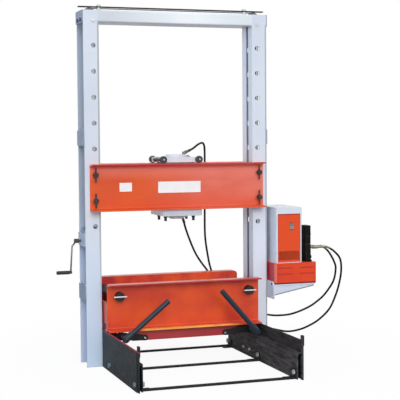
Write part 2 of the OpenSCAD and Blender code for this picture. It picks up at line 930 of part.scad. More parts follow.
// The plate on the wheels, with four axle lugs
module trolley_plate() {
    half_l = trolley_plate_l / 2;
    half_w = trolley_plate_dep / 2;
    lug_dep = 30;
    color(frame_paint) on_carriage() difference() {
        union() {
            block([-half_l, -half_w, trolley_plate_low], [half_l, half_w, trolley_plate_high]);
            for (sx = [-1, 1], sy = [-1, 1]) scale([sx, sy, 1])
                block([half_l - 1, half_w - lug_dep, trolley_plate_low],
                      [trolley_base / 2 + trolley_axle_d / 2 + 3, half_w, trolley_plate_high]);
        }
        for (sx = [-1, 1]) translate([sx * trolley_base / 2, 0, trolley_wheel_z])
            rod_y(-half_w - through, half_w + through, trolley_axle_d + 2 * shaft_gap);
        translate([0, 0, trolley_plate_low - through])
            cylinder(d = cylinder_d + 2 * sliver, h = trolley_plate_t + 2 * through);
        stud_places() translate([0, 0, trolley_plate_low - through])
            cylinder(d = stud_d + 2 * stud_clear, h = trolley_plate_t + 2 * through);
    }
}

// The plate under the head that the studs pull up against the channels
module clamp_plate() {
    bevel = 10;
    half_w = clamp_w / 2;
    half_l = clamp_dep / 2;
    color(frame_paint) on_carriage() difference() {
        translate([0, 0, clamp_low]) linear_extrude(clamp_t) polygon([
            [-half_w + bevel, -half_l], [half_w - bevel, -half_l], [half_w, -half_l + bevel],
            [half_w, half_l - bevel], [half_w - bevel, half_l], [-half_w + bevel, half_l],
            [-half_w, half_l - bevel], [-half_w, -half_l + bevel]
        ]);
        translate([0, 0, clamp_low - through])
            cylinder(d = cylinder_d + 2 * sliver, h = clamp_t + 2 * through);
        stud_places() translate([0, 0, clamp_low - through])
            cylinder(d = stud_d + 2 * stud_clear, h = clamp_t + 2 * through);
    }
}

module clamp_studs() {
    color(black_steel) on_carriage() stud_places() {
        translate([0, 0, stud_low]) cylinder(d = stud_d, h = stud_high - stud_low);
        translate([0, 0, clamp_low - stud_nut_t]) linear_extrude(stud_nut_t) hexagon(stud_nut_af);
    }
}

module cylinder_body() {
    translate([0, 0, cylinder_low]) cylinder(d = cylinder_d, h = cylinder_high - 11 - cylinder_low);
    translate([0, 0, cylinder_high - 12]) cylinder(r = cap_r, h = 12);
    translate([0, 0, trolley_plate_high]) cylinder(r = cylinder_collar_r, h = 5);
    translate([0, 0, cylinder_low - gland_t]) cylinder(r = gland_r, h = gland_t + 1);
}

module cylinder_shell() {
    color(frame_paint) on_carriage() difference() {
        cylinder_body();
        translate([0, 0, cylinder_low - gland_t - through])
            cylinder(d = rod_d + 2 * rod_gap, h = rod_cavity_h + gland_t + through);
    }
}

// A fitting that ends where a hose starts, on a block at the cylinder
module hose_fitting(route) {
    aim = hose_way(route, 0);
    rod_between(route[0] - fitting_l * aim, route[0] - sliver * aim, fitting_d);
    rod_between(route[0] - 22 * aim, route[0] - 14 * aim, fitting_d + 7);
}

module cylinder_fittings() {
    block_half = fitting_block / 2;
    advance_at = advance_route[0] - fitting_l * hose_way(advance_route, 0);
    color(brass_tan) {
        hose_fitting(advance_route);
        block([advance_at[0] - block_half, advance_at[1] - block_half, cylinder_high],
              [advance_at[0] + block_half, advance_at[1] + block_half, cylinder_high + 18]);
        difference() {
            on_carriage() block([gland_port[0] - 17, gland_port[1] - 17, clamp_low - 18],
                                [gland_port[0] + 17, gland_port[1] + 17, clamp_low]);
            on_carriage() translate([0, 0, clamp_low - 40])
                cylinder(d = cylinder_d + 2 * sliver, h = 60);
        }
        difference() {
            hose_fitting(return_route);
            translate([-500 + carriage_x, -500, clamp_low - 1]) cube([1000, 1000, 60]);
            on_carriage() translate([0, 0, clamp_low - 40])
                cylinder(d = cylinder_d + 2 * sliver, h = 60);
        }
    }
}

// Two wheels on their axle, which turns in the trolley's lugs
module trolley_wheelset(side) {
    bevel = 2;
    color(black_steel) translate([carriage_x + side * trolley_base / 2, 0, trolley_wheel_z]) {
        rod_y(-trolley_wheel_y - trolley_wheel_w - 4, trolley_wheel_y + trolley_wheel_w + 4,
              trolley_axle_d);
        for (dir = [-1, 1]) rotate([-90 * dir, 0, 0]) translate([0, 0, trolley_wheel_y])
            rotate_extrude() polygon([
                [0, 0], [trolley_wheel_d / 2 - bevel, 0], [trolley_wheel_d / 2, bevel],
                [trolley_wheel_d / 2, trolley_wheel_w - bevel],
                [trolley_wheel_d / 2 - bevel, trolley_wheel_w], [0, trolley_wheel_w]
            ]);
    }
}

module left_trolley_wheels() {
    trolley_wheelset(-1);
}

module right_trolley_wheels() {
    trolley_wheelset(1);
}

module ram() {
    ram_low = cylinder_low - gland_t - rod_show;
    ram_high = cylinder_low + rod_cavity_h - 6;
    bevel = 3;
    color(bright_steel) on_carriage() translate([0, 0, ram_low]) rotate_extrude() polygon([
        [0, 0], [rod_d / 2 - bevel, 0], [rod_d / 2, bevel], [rod_d / 2, ram_high - ram_low],
        [0, ram_high - ram_low]
    ]);
}

// ---------- hoses ----------

function hose_share(i, full, fade) = max(0, min(1, 1 - (i - full) / fade));

// The route with its ends moved to where the ports and the couplers are
function moved(points, start, end) = [
    for (i = [0 : len(points) - 1])
        points[i] + start * hose_share(i, 2, 8) + end * hose_share(len(points) - 1 - i, 2, 8)
];

function clamped(r, i) = r[max(0, min(len(r) - 1, i))];

// A point of a smooth curve through the route's points
function curve(r, i, t) = 0.5 * (
    2 * clamped(r, i) + (clamped(r, i + 1) - clamped(r, i - 1)) * t
    + (2 * clamped(r, i - 1) - 5 * clamped(r, i) + 4 * clamped(r, i + 1) - clamped(r, i + 2)) * t * t
    + (3 * clamped(r, i) - clamped(r, i - 1) - 3 * clamped(r, i + 1) + clamped(r, i + 2)) * t * t * t
);

function curve_points(r) = let (spans = len(r) - 1, count = round(spans * hose_rings)) [
    for (k = [0 : count - 1]) let (at = k * spans / count) curve(r, floor(at), at - floor(at)),
    r[spans]
];

function unit(v) = v / norm(v);

function hose_way(r, i) =
    i == 0 ? unit(r[1] - r[0]) :
    i == len(r) - 1 ? unit(r[i] - r[i - 1]) : unit(r[i + 1] - r[i - 1]);

// A hose swept along the route; the section never turns about the Y direction
module hose(route) {
    pts = curve_points(route);
    last = len(pts) - 1;
    way = [for (i = [0 : last])
        i == 0 ? hose_way(route, 0) :
        i == last ? hose_way(route, len(route) - 1) : hose_way(pts, i)];
    rings = [
        for (i = [0 : last]) let (across = unit(cross(way[i], [0, 1, 0])), up = cross(across, way[i]))
            for (k = [0 : hose_sides - 1])
                pts[i] + hose_d / 2 * (cos(k * 360 / hose_sides) * across + sin(k * 360 / hose_sides) * up)
    ];
    walls = [
        for (i = [0 : last - 1], k = [0 : hose_sides - 1])
            let (a = i * hose_sides + k, b = i * hose_sides + (k + 1) % hose_sides)
                each [[a, b, a + hose_sides], [b, b + hose_sides, a + hose_sides]]
    ];
    polyhedron(rings, concat(
        walls,
        [[for (k = [hose_sides - 1 : -1 : 0]) k]],
        [[for (k = [0 : hose_sides - 1]) last * hose_sides + k]]
    ));
}

module advance_hose() {
    color(rubber_black) hose(advance_route);
}

module return_hose() {
    color(rubber_black) hose(return_route);
}

// ---------- track ----------

// The right-hand track: outer plate, wheel ledge, inner plate and stop post
module track() {
    along_y(-track_front, track_rear) {
        translate([in_x - track_t, 0]) square([track_t, track_h]);
        translate([ledge_in_x, ledge_z - ledge_t]) square([ledge_w, ledge_t]);
        translate([ledge_in_x, 0]) square([track_in_t, ledge_z]);
    }
    stop_x = in_x - track_t + 1;
    block([stop_x - stop_w / 2, -track_front - stop_dep, 0],
          [stop_x + stop_w / 2, -track_front, stop_h - 4]);
    block([stop_x - stop_head_w / 2, -track_front - stop_dep - 5, stop_head_z],
          [stop_x + stop_head_w / 2, -track_front - stop_dep - 5 + stop_head_dep, stop_h]);
}

module right_track() {
    color(black_steel) track();
}

module left_track() {
    color(black_steel) mirror([1, 0, 0]) track();
}

// Tie bars across the floor, each between two angle clips
module cross_ties() {
    bar_x = ledge_in_x - clip_t;
    color(black_steel) for (y = [tie_y, -tie_y, -front_tie_y]) {
        inward = y > 0 ? -1 : 1;
        block([-bar_x, y - tie_bar / 2, 0], [bar_x, y + tie_bar / 2, tie_bar_h]);
        both_sides() translate([0, y, 0]) scale([1, inward, 1]) difference() {
            union() {
                block([bar_x, -tie_bar / 2, 0], [ledge_in_x, clip_ahead, clip_h]);
                block([ledge_in_x - clip_leg, -tie_bar / 2, 0], [bar_x + 1, clip_ahead, clip_t]);
            }
            translate([anchor_x, anchor_ahead, -through])
                cylinder(d = anchor_d, h = clip_t + 2 * through);
        }
    }
}

// Bolts of the frame and the track, and the axles of the sheaves
module frame_bolts() {
    color(bright_steel) both_sides() {
        for (y = [track_bolt_mid - track_bolt_y, track_bolt_mid + track_bolt_y])
            translate([ledge_in_x, y, track_bolt_z]) mirror([1, 0, 0]) bolt_x(bolt_af);
        for (y = [tie_y, -tie_y, -front_tie_y]) {
            translate([ledge_in_x - clip_t, y, clip_bolt_z]) mirror([1, 0, 0]) bolt_x(clip_bolt_af);
            translate([in_x, y, clip_bolt_z]) bolt_x(clip_bolt_af);
        }
        for (y = [-56, 25]) translate([out_x + tie_t, y, frame_h - 61]) bolt_x(bolt_af);
        translate([sheave_x, 0, sheave_z])
            rod_y(-yoke_y - yoke_t - 3, yoke_y + yoke_t + 3, axle_d);
        translate([pin_x, 0, yoke_bolt_z]) {
            rod_y(-half_d - 3, half_d + 12, bolt_d);
            for (dir = [-1, 1]) rotate([90 * dir, 0, 0]) translate([0, 0, half_d])
                linear_extrude(bolt_head_t) hexagon(bolt_af);
        }
        translate([keeper_post_x, keeper_post_y, 0]) difference() {
            translate([0, 0, frame_h]) cylinder(d = keeper_post_d, h = keeper_z - frame_h);
            translate([0, rope_y - keeper_post_y, sheave_z + sheave_r])
                rod_x(-keeper_post_d, keeper_post_d, rope_d + 2);
        }
        translate([keeper_post_x, keeper_post_y, keeper_z + keeper_t]) {
            linear_extrude(10) hexagon(27);
            cylinder(d = 16, h = 13);
        }
    }
}

// ---------- bed ----------

module bed_pin_places() {
    for (side = [-1, 1]) translate([side * bed_pin_x, 0, bed_pin_z]) children();
}

// The outline of a channel's web, its two top corners rounded
module web_outline(r) {
    translate([-bed_half, 0]) square([2 * bed_half, channel_h - r]);
    translate([-bed_half + r, 0]) square([2 * bed_half - 2 * r, channel_h]);
    for (side = [-1, 1]) translate([side * (bed_half - r), channel_h - r]) circle(r);
}

// The rear channel of the bed; the front one is its mirror
module bed_channel(corner_r) {
    collar_t = 6;
    collar_d = bed_pin_d + 16;
    difference() {
        union() {
            intersection() {
                translate([0, bed_web, bed_z]) along_x(2 * bed_half) channel_section();
                translate([0, 0, bed_z]) along_y(bed_web - 1, bed_toe + 1) web_outline(corner_r);
            }
            bed_pin_places() rod_y(bed_web_face - 1, bed_web_face + collar_t, collar_d);
            bed_pin_places() block([-bed_rib_w / 2, bed_web - bed_rib_t, 0],
                                   [bed_rib_w / 2, bed_web + 1, bed_top - bed_pin_z - 14]);
        }
        bed_pin_places() rod_y(bed_web - bed_rib_t - through, bed_web_face + collar_t + through,
                               bed_pin_d + 2 * bed_pin_gap);
    }
}

module bed_front_channel() {
    color(orange_paint) mirror([0, 1, 0]) bed_channel(4);
}

module bed_rear_channel() {
    color(orange_paint) bed_channel(bed_corner_r);
}

module bed_end_plates() {
    color(orange_paint) both_sides()
        block([bed_half - bed_end_t, -bed_web, bed_z], [bed_half, bed_web, bed_end_high]);
}

module bed_spreaders() {
    color(orange_paint) both_sides()
        block([bed_spreader_x, -bed_web, bed_spreader_low],
              [bed_spreader_x + bed_spreader_t, bed_web, bed_spreader_high]);
}

module bed_lift_bar() {
    color(red_paint) block([-lift_bar_l / 2, -lift_bar_y, lift_bar_low],
                           [lift_bar_l / 2, -bed_web_face, bed_z]);
}

// The arms that carry the levers' shafts
module bed_lift_arms() {
    color(black_steel) both_sides() difference() {
        along_y(-arm_y, -lift_bar_y) {
            translate([arm_in_x, arm_in_z]) circle(arm_in_r);
            translate([lever_x, lever_z]) circle(arm_out_r);
            polygon([
                [arm_in_x, arm_in_z - arm_in_r], [arm_in_x, arm_in_z + arm_in_r],
                [lever_x, lever_z + arm_out_r], [lever_x, lever_z - arm_out_r]
            ]);
        }
        translate([lever_x, 0, lever_z])
            rod_y(-arm_y - through, -lift_bar_y + through, lever_shaft_d + 2 * shaft_gap);
    }
}

// Blocks on the webs' inner faces that carry the wheels' axles
module bed_axle_blocks() {
    color(black_steel) both_sides() for (dir = [-1, 1]) scale([1, dir, 1]) difference() {
        block([block_x0, bed_web - block_dep, block_low], [block_x1, bed_web, block_high]);
        translate([0, bed_wheel_y, bed_wheel_z])
            rod_x(block_x0 - through, block_x1 + through, bed_axle_d + 2 * shaft_gap);
    }
}

// Slide pads between the bed's ends and the uprights
module bed_pads() {
    color(black_steel) both_sides() for (dir = [-1, 1]) scale([1, dir, 1])
        block([bed_half, 116, bed_z + 7], [bed_half + pad_t, 146, bed_z + 41]);
}

// Two wheels on their axle, which turns in the bed's blocks
module bed_wheelset(y) {
    wheel_r = bed_wheel_d / 2;
    bevel = 2;
    color(black_steel) translate([0, y, bed_wheel_z]) {
        rod_x(-bed_wheel_x1, bed_wheel_x1, bed_axle_d);
        both_sides() translate([bed_wheel_x0, 0, 0]) rotate([0, 90, 0]) rotate_extrude() polygon([
            [0, 0], [wheel_r - bevel, 0], [wheel_r, bevel], [wheel_r, bed_wheel_w - bevel],
            [wheel_r - bevel, bed_wheel_w], [0, bed_wheel_w]
        ]);
    }
}

module front_bed_wheels() {
    bed_wheelset(-bed_wheel_y);
}

module rear_bed_wheels() {
    bed_wheelset(bed_wheel_y);
}

module bed_pin(side) {
    front = -bed_web_face - bed_pin_show;
    color(black_steel) translate([side * bed_pin_x, 0, bed_pin_z]) {
        rod_y(front, bed_web_face + 8, bed_pin_d);
        translate([-bed_rod_l / 2, front, 0]) rod_x(0, bed_rod_l, bed_rod_d);
    }
}

module left_bed_pin() {
    bed_pin(-1);
}

module right_bed_pin() {
    bed_pin(1);
}

// The right-hand lever on its shaft, leaning towards the middle
module lever(lean) {
    color(lever_paint) translate([lever_x, 0, lever_z]) {
        rod_y(-lever_front_y, -lift_bar_y + 2, lever_shaft_d);
        translate([0, -lever_front_y, 0]) {
            rod_y(-18, 14, lever_socket_d - 6);
            rotate([0, -lean, 0]) rotate_extrude() {
                square([lever_socket_d / 2, lever_socket_l]);
                square([lever_d / 2 - 6, lever_l]);
                square([lever_d / 2, lever_l - 6]);
                translate([lever_d / 2 - 6, lever_l - 6]) circle(6);
            }
        }
    }
}

module right_lever() {
    lever(right_lever_lean);
}

module left_lever() {
    mirror([1, 0, 0]) lever(lever_lean);
}

// ---------- pump ----------

// Back plate, shelf and two tapered side webs
module pump_bracket() {
    web_x0 = bracket_x + bracket_t;
    web_x1 = tank_x1 - 20;
    color(frame_paint) {
        translate([bracket_x + bracket_t / 2, 0, 0]) along_x(bracket_t) polygon([
            [tank_y0, bracket_low + 8], [tank_y0 + 8, bracket_low], [tank_y1, bracket_low],
            [tank_y1, bracket_high], [tank_y0 + bracket_cut, bracket_high],
            [tank_y0, bracket_high - bracket_cut]
        ]);
        block([web_x0 - 1, tank_y0, shelf_z - bracket_t], [tank_x1 - 12, tank_y1, shelf_z]);
        for (y = [tank_y0 + 4, tank_y1 - 10]) along_y(y, y + 6) polygon([
            [web_x0 - 1, shelf_z - 1], [web_x0 - 1, shelf_z - bracket_taper],
            [web_x1, shelf_z - bracket_tip], [web_x1, shelf_z - 1]
        ]);
    }
}

module pump_tank() {
    color(orange_paint) {
        translate([(tank_x0 + tank_x1) / 2, (tank_y0 + tank_y1) / 2, shelf_z])
            linear_extrude(tank_h) round_rect(tank_w, tank_dep, tank_corner_r);
        for (x = [tank_x0 + rib_inset, tank_x1 - rib_inset - rib_l], z = [rib_z1, rib_z2])
            translate([x, tank_y0 + 2, z]) {
                rod_x(0, rib_l, rib_d);
                for (end = [0, rib_l]) translate([end, 0, 0]) sphere(d = rib_d);
            }
    }
}

// A sheet-metal box over the motor, with an opening for the front panel
module pump_cover() {
    inner_w = cover_w - 2 * cover_wall;
    inner_dep = cover_dep - 2 * cover_wall;
    color(cast_grey) difference() {
        translate([(cover_x0 + cover_x1) / 2, (cover_y0 + cover_y1) / 2, tank_top]) difference() {
            linear_extrude(cover_h) round_rect(cover_w, cover_dep, cover_corner_r);
            translate([0, 0, -through]) linear_extrude(cover_h - cover_wall + through)
                round_rect(inner_w, inner_dep, cover_corner_r - cover_wall);
        }
        block([cover_x0 + panel_side, cover_y0 - through, panel_low],
              [cover_x1 - panel_side, cover_y0 + cover_wall + through, panel_high]);
    }
}

// The front sheet with its grille and the switch's opening
module pump_panel() {
    panel_x0 = cover_x0 + cover_corner_r;
    panel_x1 = cover_x1 - cover_corner_r;
    slot_x0 = cover_x0 + panel_side + grille_side;
    slot_pitch = (cover_w - 2 * panel_side - 2 * grille_side) / grille_slots;
    slot_w = slot_pitch * slot_share;
    color(orange_paint) difference() {
        block([panel_x0, panel_y, tank_top], [panel_x1, panel_y + panel_t, panel_high + 5]);
        for (i = [0 : grille_slots - 1]) translate([slot_x0 + (i + 0.5) * slot_pitch, 0, 0])
            block([-slot_w / 2, panel_y - through, grille_low],
                  [slot_w / 2, panel_y + panel_t + through, grille_high]);
        block([switch_x - switch_w / 2 - 1, panel_y - through, switch_z - switch_h / 2 - 3],
              [switch_x + switch_w / 2 + 1, panel_y + panel_t + through,
               switch_z + switch_h / 2 + 3]);
    }
    color(orange_paint) for (side = [-1, 1])
        translate([switch_x + side * (switch_w / 2 + 1 + switch_ear_t / 2), 0, 0]) switch_ear();
}

// An ear behind the panel that carries one end of the switch's pin
module switch_ear() {
    half_t = switch_ear_t / 2;
    difference() {
        block([-half_t, panel_y + panel_t, switch_z - 7], [half_t, switch_y + 6, switch_z + 7]);
        translate([0, switch_y, switch_z])
            rod_x(-half_t - through, half_t + through, switch_pin_d + 2 * shaft_gap);
    }
}

// A rocker that tips on an axis behind the panel
module pump_switch() {
    half_h = switch_h / 2;
    pin_half = switch_w / 2 + 1 + switch_ear_t;
    color([0.35, 0.36, 0.38]) translate([switch_x, switch_y, switch_z]) {
        along_x(switch_w) polygon([
            [-13, -half_h + 1], [-12, -half_h], [-2, -half_h], [6, -10], [6, 10], [-2, half_h],
            [-12, half_h], [-13, half_h - 1], [-9, 0]
        ]);
        rod_x(-pin_half, pin_half, switch_pin_d);
    }
}

// Manifold on its foot, coil and two plugs
module pump_valve() {
    mid_y = (valve_y0 + valve_y1) / 2;
    color(black_steel) {
        block([valve_x0, valve_y0, tank_top], [valve_x1, valve_y1, valve_mid_z]);
        block([valve_x1 - 1, valve_y0 + 6, tank_top], [valve_x1 + 10, valve_y1 - 6, tank_top + 14]);
        translate([coil_x0 + coil_w / 2, mid_y, valve_mid_z])
            linear_extrude(valve_top - valve_mid_z) round_rect(coil_w, 84, 8);
        translate([0, valve_y0 + 24, tank_top + 33]) rod_x(valve_x1 - 2, valve_x1 + plug_l, 24);
        translate([0, mid_y, tank_top + 186])
            rod_x(coil_x0 + coil_w - 2, coil_x0 + coil_w + plug_l, plug_d);
    }
}

// A pipe from the valve with a screwed coupler at its end
module coupler(y, end_x) {
    translate([0, y, coupler_z]) {
        rod_x(valve_x1, end_x - coupler_l + 1, 16);
        rod_x(end_x - coupler_l, end_x - 20, 24);
        rod_x(end_x - 20, end_x - sliver, 18);
    }
}

module pump_couplers() {
    color(brass_tan) {
        coupler(advance_coupler_y, advance_coupler_x);
        coupler(return_coupler_y, return_coupler_x);
    }
}

left_front_upright();
left_rear_upright();
right_front_upright();
right_rear_upright();
tie_plates();
top_rail();
sheave_brackets();
short_lift_rope();
long_lift_rope();
rope_terminals();
winch_frame();
winch_gear_case();
head_front_channel();
head_rear_channel();
head_spacers();
left_track();
right_track();
cross_ties();
frame_bolts();
pump_bracket();
pump_tank();
pump_cover();
pump_panel();
pump_valve();
pump_couplers();
advance_hose();
return_hose();
trolley_plate();
clamp_plate();
clamp_studs();
cylinder_shell();  // cylinder
cylinder_fittings();
left_trolley_wheels();
right_trolley_wheels();
ram();
upper_left_head_pin();
lower_left_head_pin();
upper_right_head_pin();
lower_right_head_pin();
bed_front_channel();
bed_rear_channel();
bed_end_plates();
bed_spreaders();
bed_lift_bar();
bed_lift_arms();
bed_axle_blocks();
bed_pads();
front_bed_wheels();
rear_bed_wheels();
left_bed_pin();
right_bed_pin();
left_lever();
right_lever();
crank();
crank_grip();
winch_drum();
left_sheave();
right_sheave();
pump_switch();
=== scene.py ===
import json
import math

import bmesh
import bpy
from mathutils import Matrix, Vector


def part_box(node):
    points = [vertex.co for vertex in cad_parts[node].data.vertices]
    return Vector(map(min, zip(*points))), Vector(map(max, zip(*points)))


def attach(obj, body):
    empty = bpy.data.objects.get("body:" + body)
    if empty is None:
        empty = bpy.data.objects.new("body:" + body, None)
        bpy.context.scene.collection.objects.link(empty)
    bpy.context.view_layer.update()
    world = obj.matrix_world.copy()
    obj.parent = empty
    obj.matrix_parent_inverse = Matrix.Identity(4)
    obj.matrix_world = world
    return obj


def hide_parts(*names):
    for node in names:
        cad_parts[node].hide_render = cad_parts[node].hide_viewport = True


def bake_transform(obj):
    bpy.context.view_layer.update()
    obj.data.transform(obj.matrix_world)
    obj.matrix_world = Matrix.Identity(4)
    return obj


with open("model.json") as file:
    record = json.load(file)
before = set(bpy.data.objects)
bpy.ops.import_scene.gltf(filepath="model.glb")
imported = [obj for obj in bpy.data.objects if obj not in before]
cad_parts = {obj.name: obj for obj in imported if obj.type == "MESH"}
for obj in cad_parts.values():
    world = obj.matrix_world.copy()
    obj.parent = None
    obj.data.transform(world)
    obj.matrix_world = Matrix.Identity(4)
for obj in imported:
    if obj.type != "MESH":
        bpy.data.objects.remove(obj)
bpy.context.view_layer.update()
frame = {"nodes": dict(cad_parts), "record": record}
nodes = frame["nodes"]
scene = bpy.context.scene


def add_object(name, data):
    obj = bpy.data.objects.new(name, data)
    scene.collection.objects.link(obj)
    return obj


# ---------- camera ----------

# solved from the photograph's perspective: degrees, millimetres, metres
CAMERA_YAW, CAMERA_PITCH, CAMERA_ROLL = 18.857, 3.114, -0.4253
CAMERA_SENSOR, CAMERA_LENS = 36, 101.865
CAMERA_AT = (-2.28596, -7.22768, 1.48213)


def set_camera():
    yaw, pitch, roll = (math.radians(a) for a in (CAMERA_YAW, CAMERA_PITCH, CAMERA_ROLL))
    aim = Vector((math.sin(yaw) * math.cos(pitch), math.cos(yaw) * math.cos(pitch), -math.sin(pitch)))
    right = Vector((math.cos(yaw), -math.sin(yaw), 0))
    up = right.cross(aim)
    side = math.cos(roll) * right + math.sin(roll) * up
    top = -math.sin(roll) * right + math.cos(roll) * up
    data = bpy.data.cameras.new("camera")
    data.sensor_width = CAMERA_SENSOR
    data.lens = CAMERA_LENS
    data.clip_end = 60
    camera = add_object("camera", data)
    camera.matrix_world = Matrix((
        (side.x, top.x, -aim.x, CAMERA_AT[0]),
        (side.y, top.y, -aim.y, CAMERA_AT[1]),
        (side.z, top.z, -aim.z, CAMERA_AT[2]),
        (0, 0, 0, 1)))
    scene.camera = camera


set_camera()


# ---------- shader helpers ----------

class Nodes:
    """Adds nodes to a tree, sets their sockets and links them."""

    def __init__(self, tree):
        self.tree = tree

    def new(self, kind, **values):
        node = self.tree.nodes.new(kind)
        for key, value in values.items():
            if hasattr(node, key):
                setattr(node, key, value)
            else:
                node.inputs[key].default_value = value
        return node

    def link(self, a, b):
        self.tree.links.new(a, b)

    def put(self, value, socket):
        """Sets a socket to a number or a colour, or links another node's output to it."""
        if isinstance(value, (int, float)):
            socket.default_value = value
        elif isinstance(value, tuple):
            socket.default_value = (*value, 1)
        elif value is not None:
            self.link(value, socket)

    def ramp(self, value, low, high, a=0.0, b=1.0):
        """a where the value is low, b where it is high, and a straight blend between them."""
        node = self.new("ShaderNodeMapRange")
        for key, level in (("From Min", low), ("From Max", high), ("To Min", a), ("To Max", b)):
            node.inputs[key].default_value = level
        self.link(value, node.inputs["Value"])
        return node.outputs["Result"]

    def math(self, kind, a, b=None):
        node = self.new("ShaderNodeMath", operation=kind)
        self.put(a, node.inputs[0])
        self.put(b, node.inputs[1])
        return node.outputs[0]

    def show(self, fac, a, b, surface):
        """Shows the shader a where the factor is 0, and b where it is 1."""
        node = self.new("ShaderNodeMixShader")
        for value, socket in zip((fac, a, b), node.inputs):
            self.link(value, socket)
        self.link(node.outputs[0], surface)


class Shader(Nodes):
    """A material with one Principled shader, filled in step by step."""

    def __init__(self, name):
        self.mat = bpy.data.materials.new(name)
        self.mat.use_nodes = True
        super().__init__(self.mat.node_tree)
        self.bsdf = self.tree.nodes["Principled BSDF"]
        self.coord = self.new("ShaderNodeTexCoord")

    def noise(self, scale, detail, rough, stretch=(1, 1, 1)):
        mapping = self.new("ShaderNodeMapping", Scale=stretch)
        self.link(self.coord.outputs["Object"], mapping.inputs["Vector"])
        node = self.new("ShaderNodeTexNoise", Scale=scale, Detail=detail, Roughness=rough)
        self.link(mapping.outputs["Vector"], node.inputs["Vector"])
        return node.outputs["Fac"]

    def xyz(self, kind="Object"):
        split = self.new("ShaderNodeSeparateXYZ")
        self.link(self.coord.outputs[kind], split.inputs[0])
        return split.outputs

    def all_of(self, *masks):
        out = masks[0]
        for mask in masks[1:]:
            out = self.math("MULTIPLY", out, mask)
        return out

    def any_of(self, *masks):
        out = masks[0]
        for mask in masks[1:]:
            out = self.math("MAXIMUM", out, mask)
        return out

    def over(self, color, rgb, mask, share=1.0):
        """The colour with rgb laid over it where the mask is 1; at most this share of rgb shows."""
        if share < 1:
            mask = self.math("MULTIPLY", mask, share)
        node = self.new("ShaderNodeMix", data_type="RGBA")
        self.link(mask, node.inputs[0])
        self.put(color, node.inputs[6])
        self.put(rgb, node.inputs[7])
        return node.outputs[2]

    def edges(self, radius):
        """A mask that is 1 along the edges within the radius, and the normal rounded over them."""
        bevel = self.new("ShaderNodeBevel", samples=4, Radius=radius)
        flat = self.new("ShaderNodeNewGeometry")
        dot = self.new("ShaderNodeVectorMath", operation="DOT_PRODUCT")
        self.link(bevel.outputs["Normal"], dot.inputs[0])
        self.link(flat.outputs["Normal"], dot.inputs[1])
        return self.ramp(dot.outputs["Value"], 0.99, 0.8), bevel.outputs["Normal"]

    def bump(self, height, distance, normal=None):
        node = self.new("ShaderNodeBump", Strength=1.0, Distance=distance)
        self.link(height, node.inputs["Height"])
        self.put(normal, node.inputs["Normal"])
        return node.outputs["Normal"]

    def finish(self, color, rough, normal, metal=0.0, coat=0.0, coat_rough=0.1, spec=0.5):
        for key, value in (
                ("Base Color", color), ("Roughness", rough), ("Normal", normal), ("Metallic", metal),
                ("Specular IOR Level", spec), ("Coat Weight", coat), ("Coat Roughness", coat_rough)):
            self.put(value, self.bsdf.inputs[key])
        return self.mat


def paint(name, rgb, dark, rough=0.38, wear_and_highlight=(0.75, 0.75, 0.76), wear_and_highlight_share=0.35, edge=0.0022, patch=2.4,
          coat=0.25, spec=0.5, extra=None):
    """Sprayed enamel: slow patches, fine speckle, orange peel, and paler edges, partly thin worn paint and
    partly a painted highlight.
    """
    s = Shader(name)
    slow = s.ramp(s.noise(patch, 3, 0.5), 0.42, 0.68)
    fine = s.noise(46, 5, 0.6)
    speck = s.ramp(s.noise(230, 2, 0.5), 0.66, 0.74)
    color = s.over(s.over(rgb, dark, slow, 0.75), dark, speck, 0.25)
    if extra is not None:
        color = extra(s, color)
    near_edge, normal = s.edges(edge)
    # the paler edges are partly real wear and partly a painted highlight
    chip_and_highlight = s.all_of(near_edge, s.ramp(fine, 0.45, 0.62, 0.15, 1))
    color = s.over(color, wear_and_highlight, chip_and_highlight, wear_and_highlight_share)
    roughness = s.ramp(fine, 0.3, 0.7, rough - 0.06, rough + 0.1)
    normal = s.bump(s.noise(340, 2, 0.5), 0.00012, normal)
    return s.finish(color, roughness, normal, coat=coat, coat_rough=0.18, spec=spec)


def steel(name, rgb, rough, dark=None, metal=1.0, stretch=(1, 1, 1), extra=None):
    """Machined or plated steel with fine scratches and a thin dull film."""
    s = Shader(name)
    film = s.ramp(s.noise(24, 4, 0.6), 0.4, 0.7)
    scratch = s.noise(420, 3, 0.6, stretch)
    color = s.over(rgb, dark or tuple(c * 0.6 for c in rgb), film, 0.55)
    if extra is not None:
        color, metal = extra(s, color, metal)
    _, normal = s.edges(0.001)
    roughness = s.ramp(scratch, 0.3, 0.7, rough - 0.08, rough + 0.14)
    return s.finish(color, roughness, s.bump(scratch, 0.00006, normal), metal=metal)


def cast(name, rgb, rough):
    """Rough cast iron or moulded rubber, paler in patches and along its edges."""
    s = Shader(name)
    grain = s.noise(160, 5, 0.7)
    patches = s.ramp(s.noise(18, 4, 0.6), 0.35, 0.75)
    near_edge, normal = s.edges(0.0015)
    color = s.over(rgb, tuple(c * 1.8 + 0.01 for c in rgb), patches)
    color = s.over(color, (0.3, 0.3, 0.31), near_edge, 0.3)
    roughness = s.ramp(grain, 0.3, 0.7, rough - 0.08, rough + 0.12)
    return s.finish(color, roughness, s.bump(grain, 0.0006, normal))
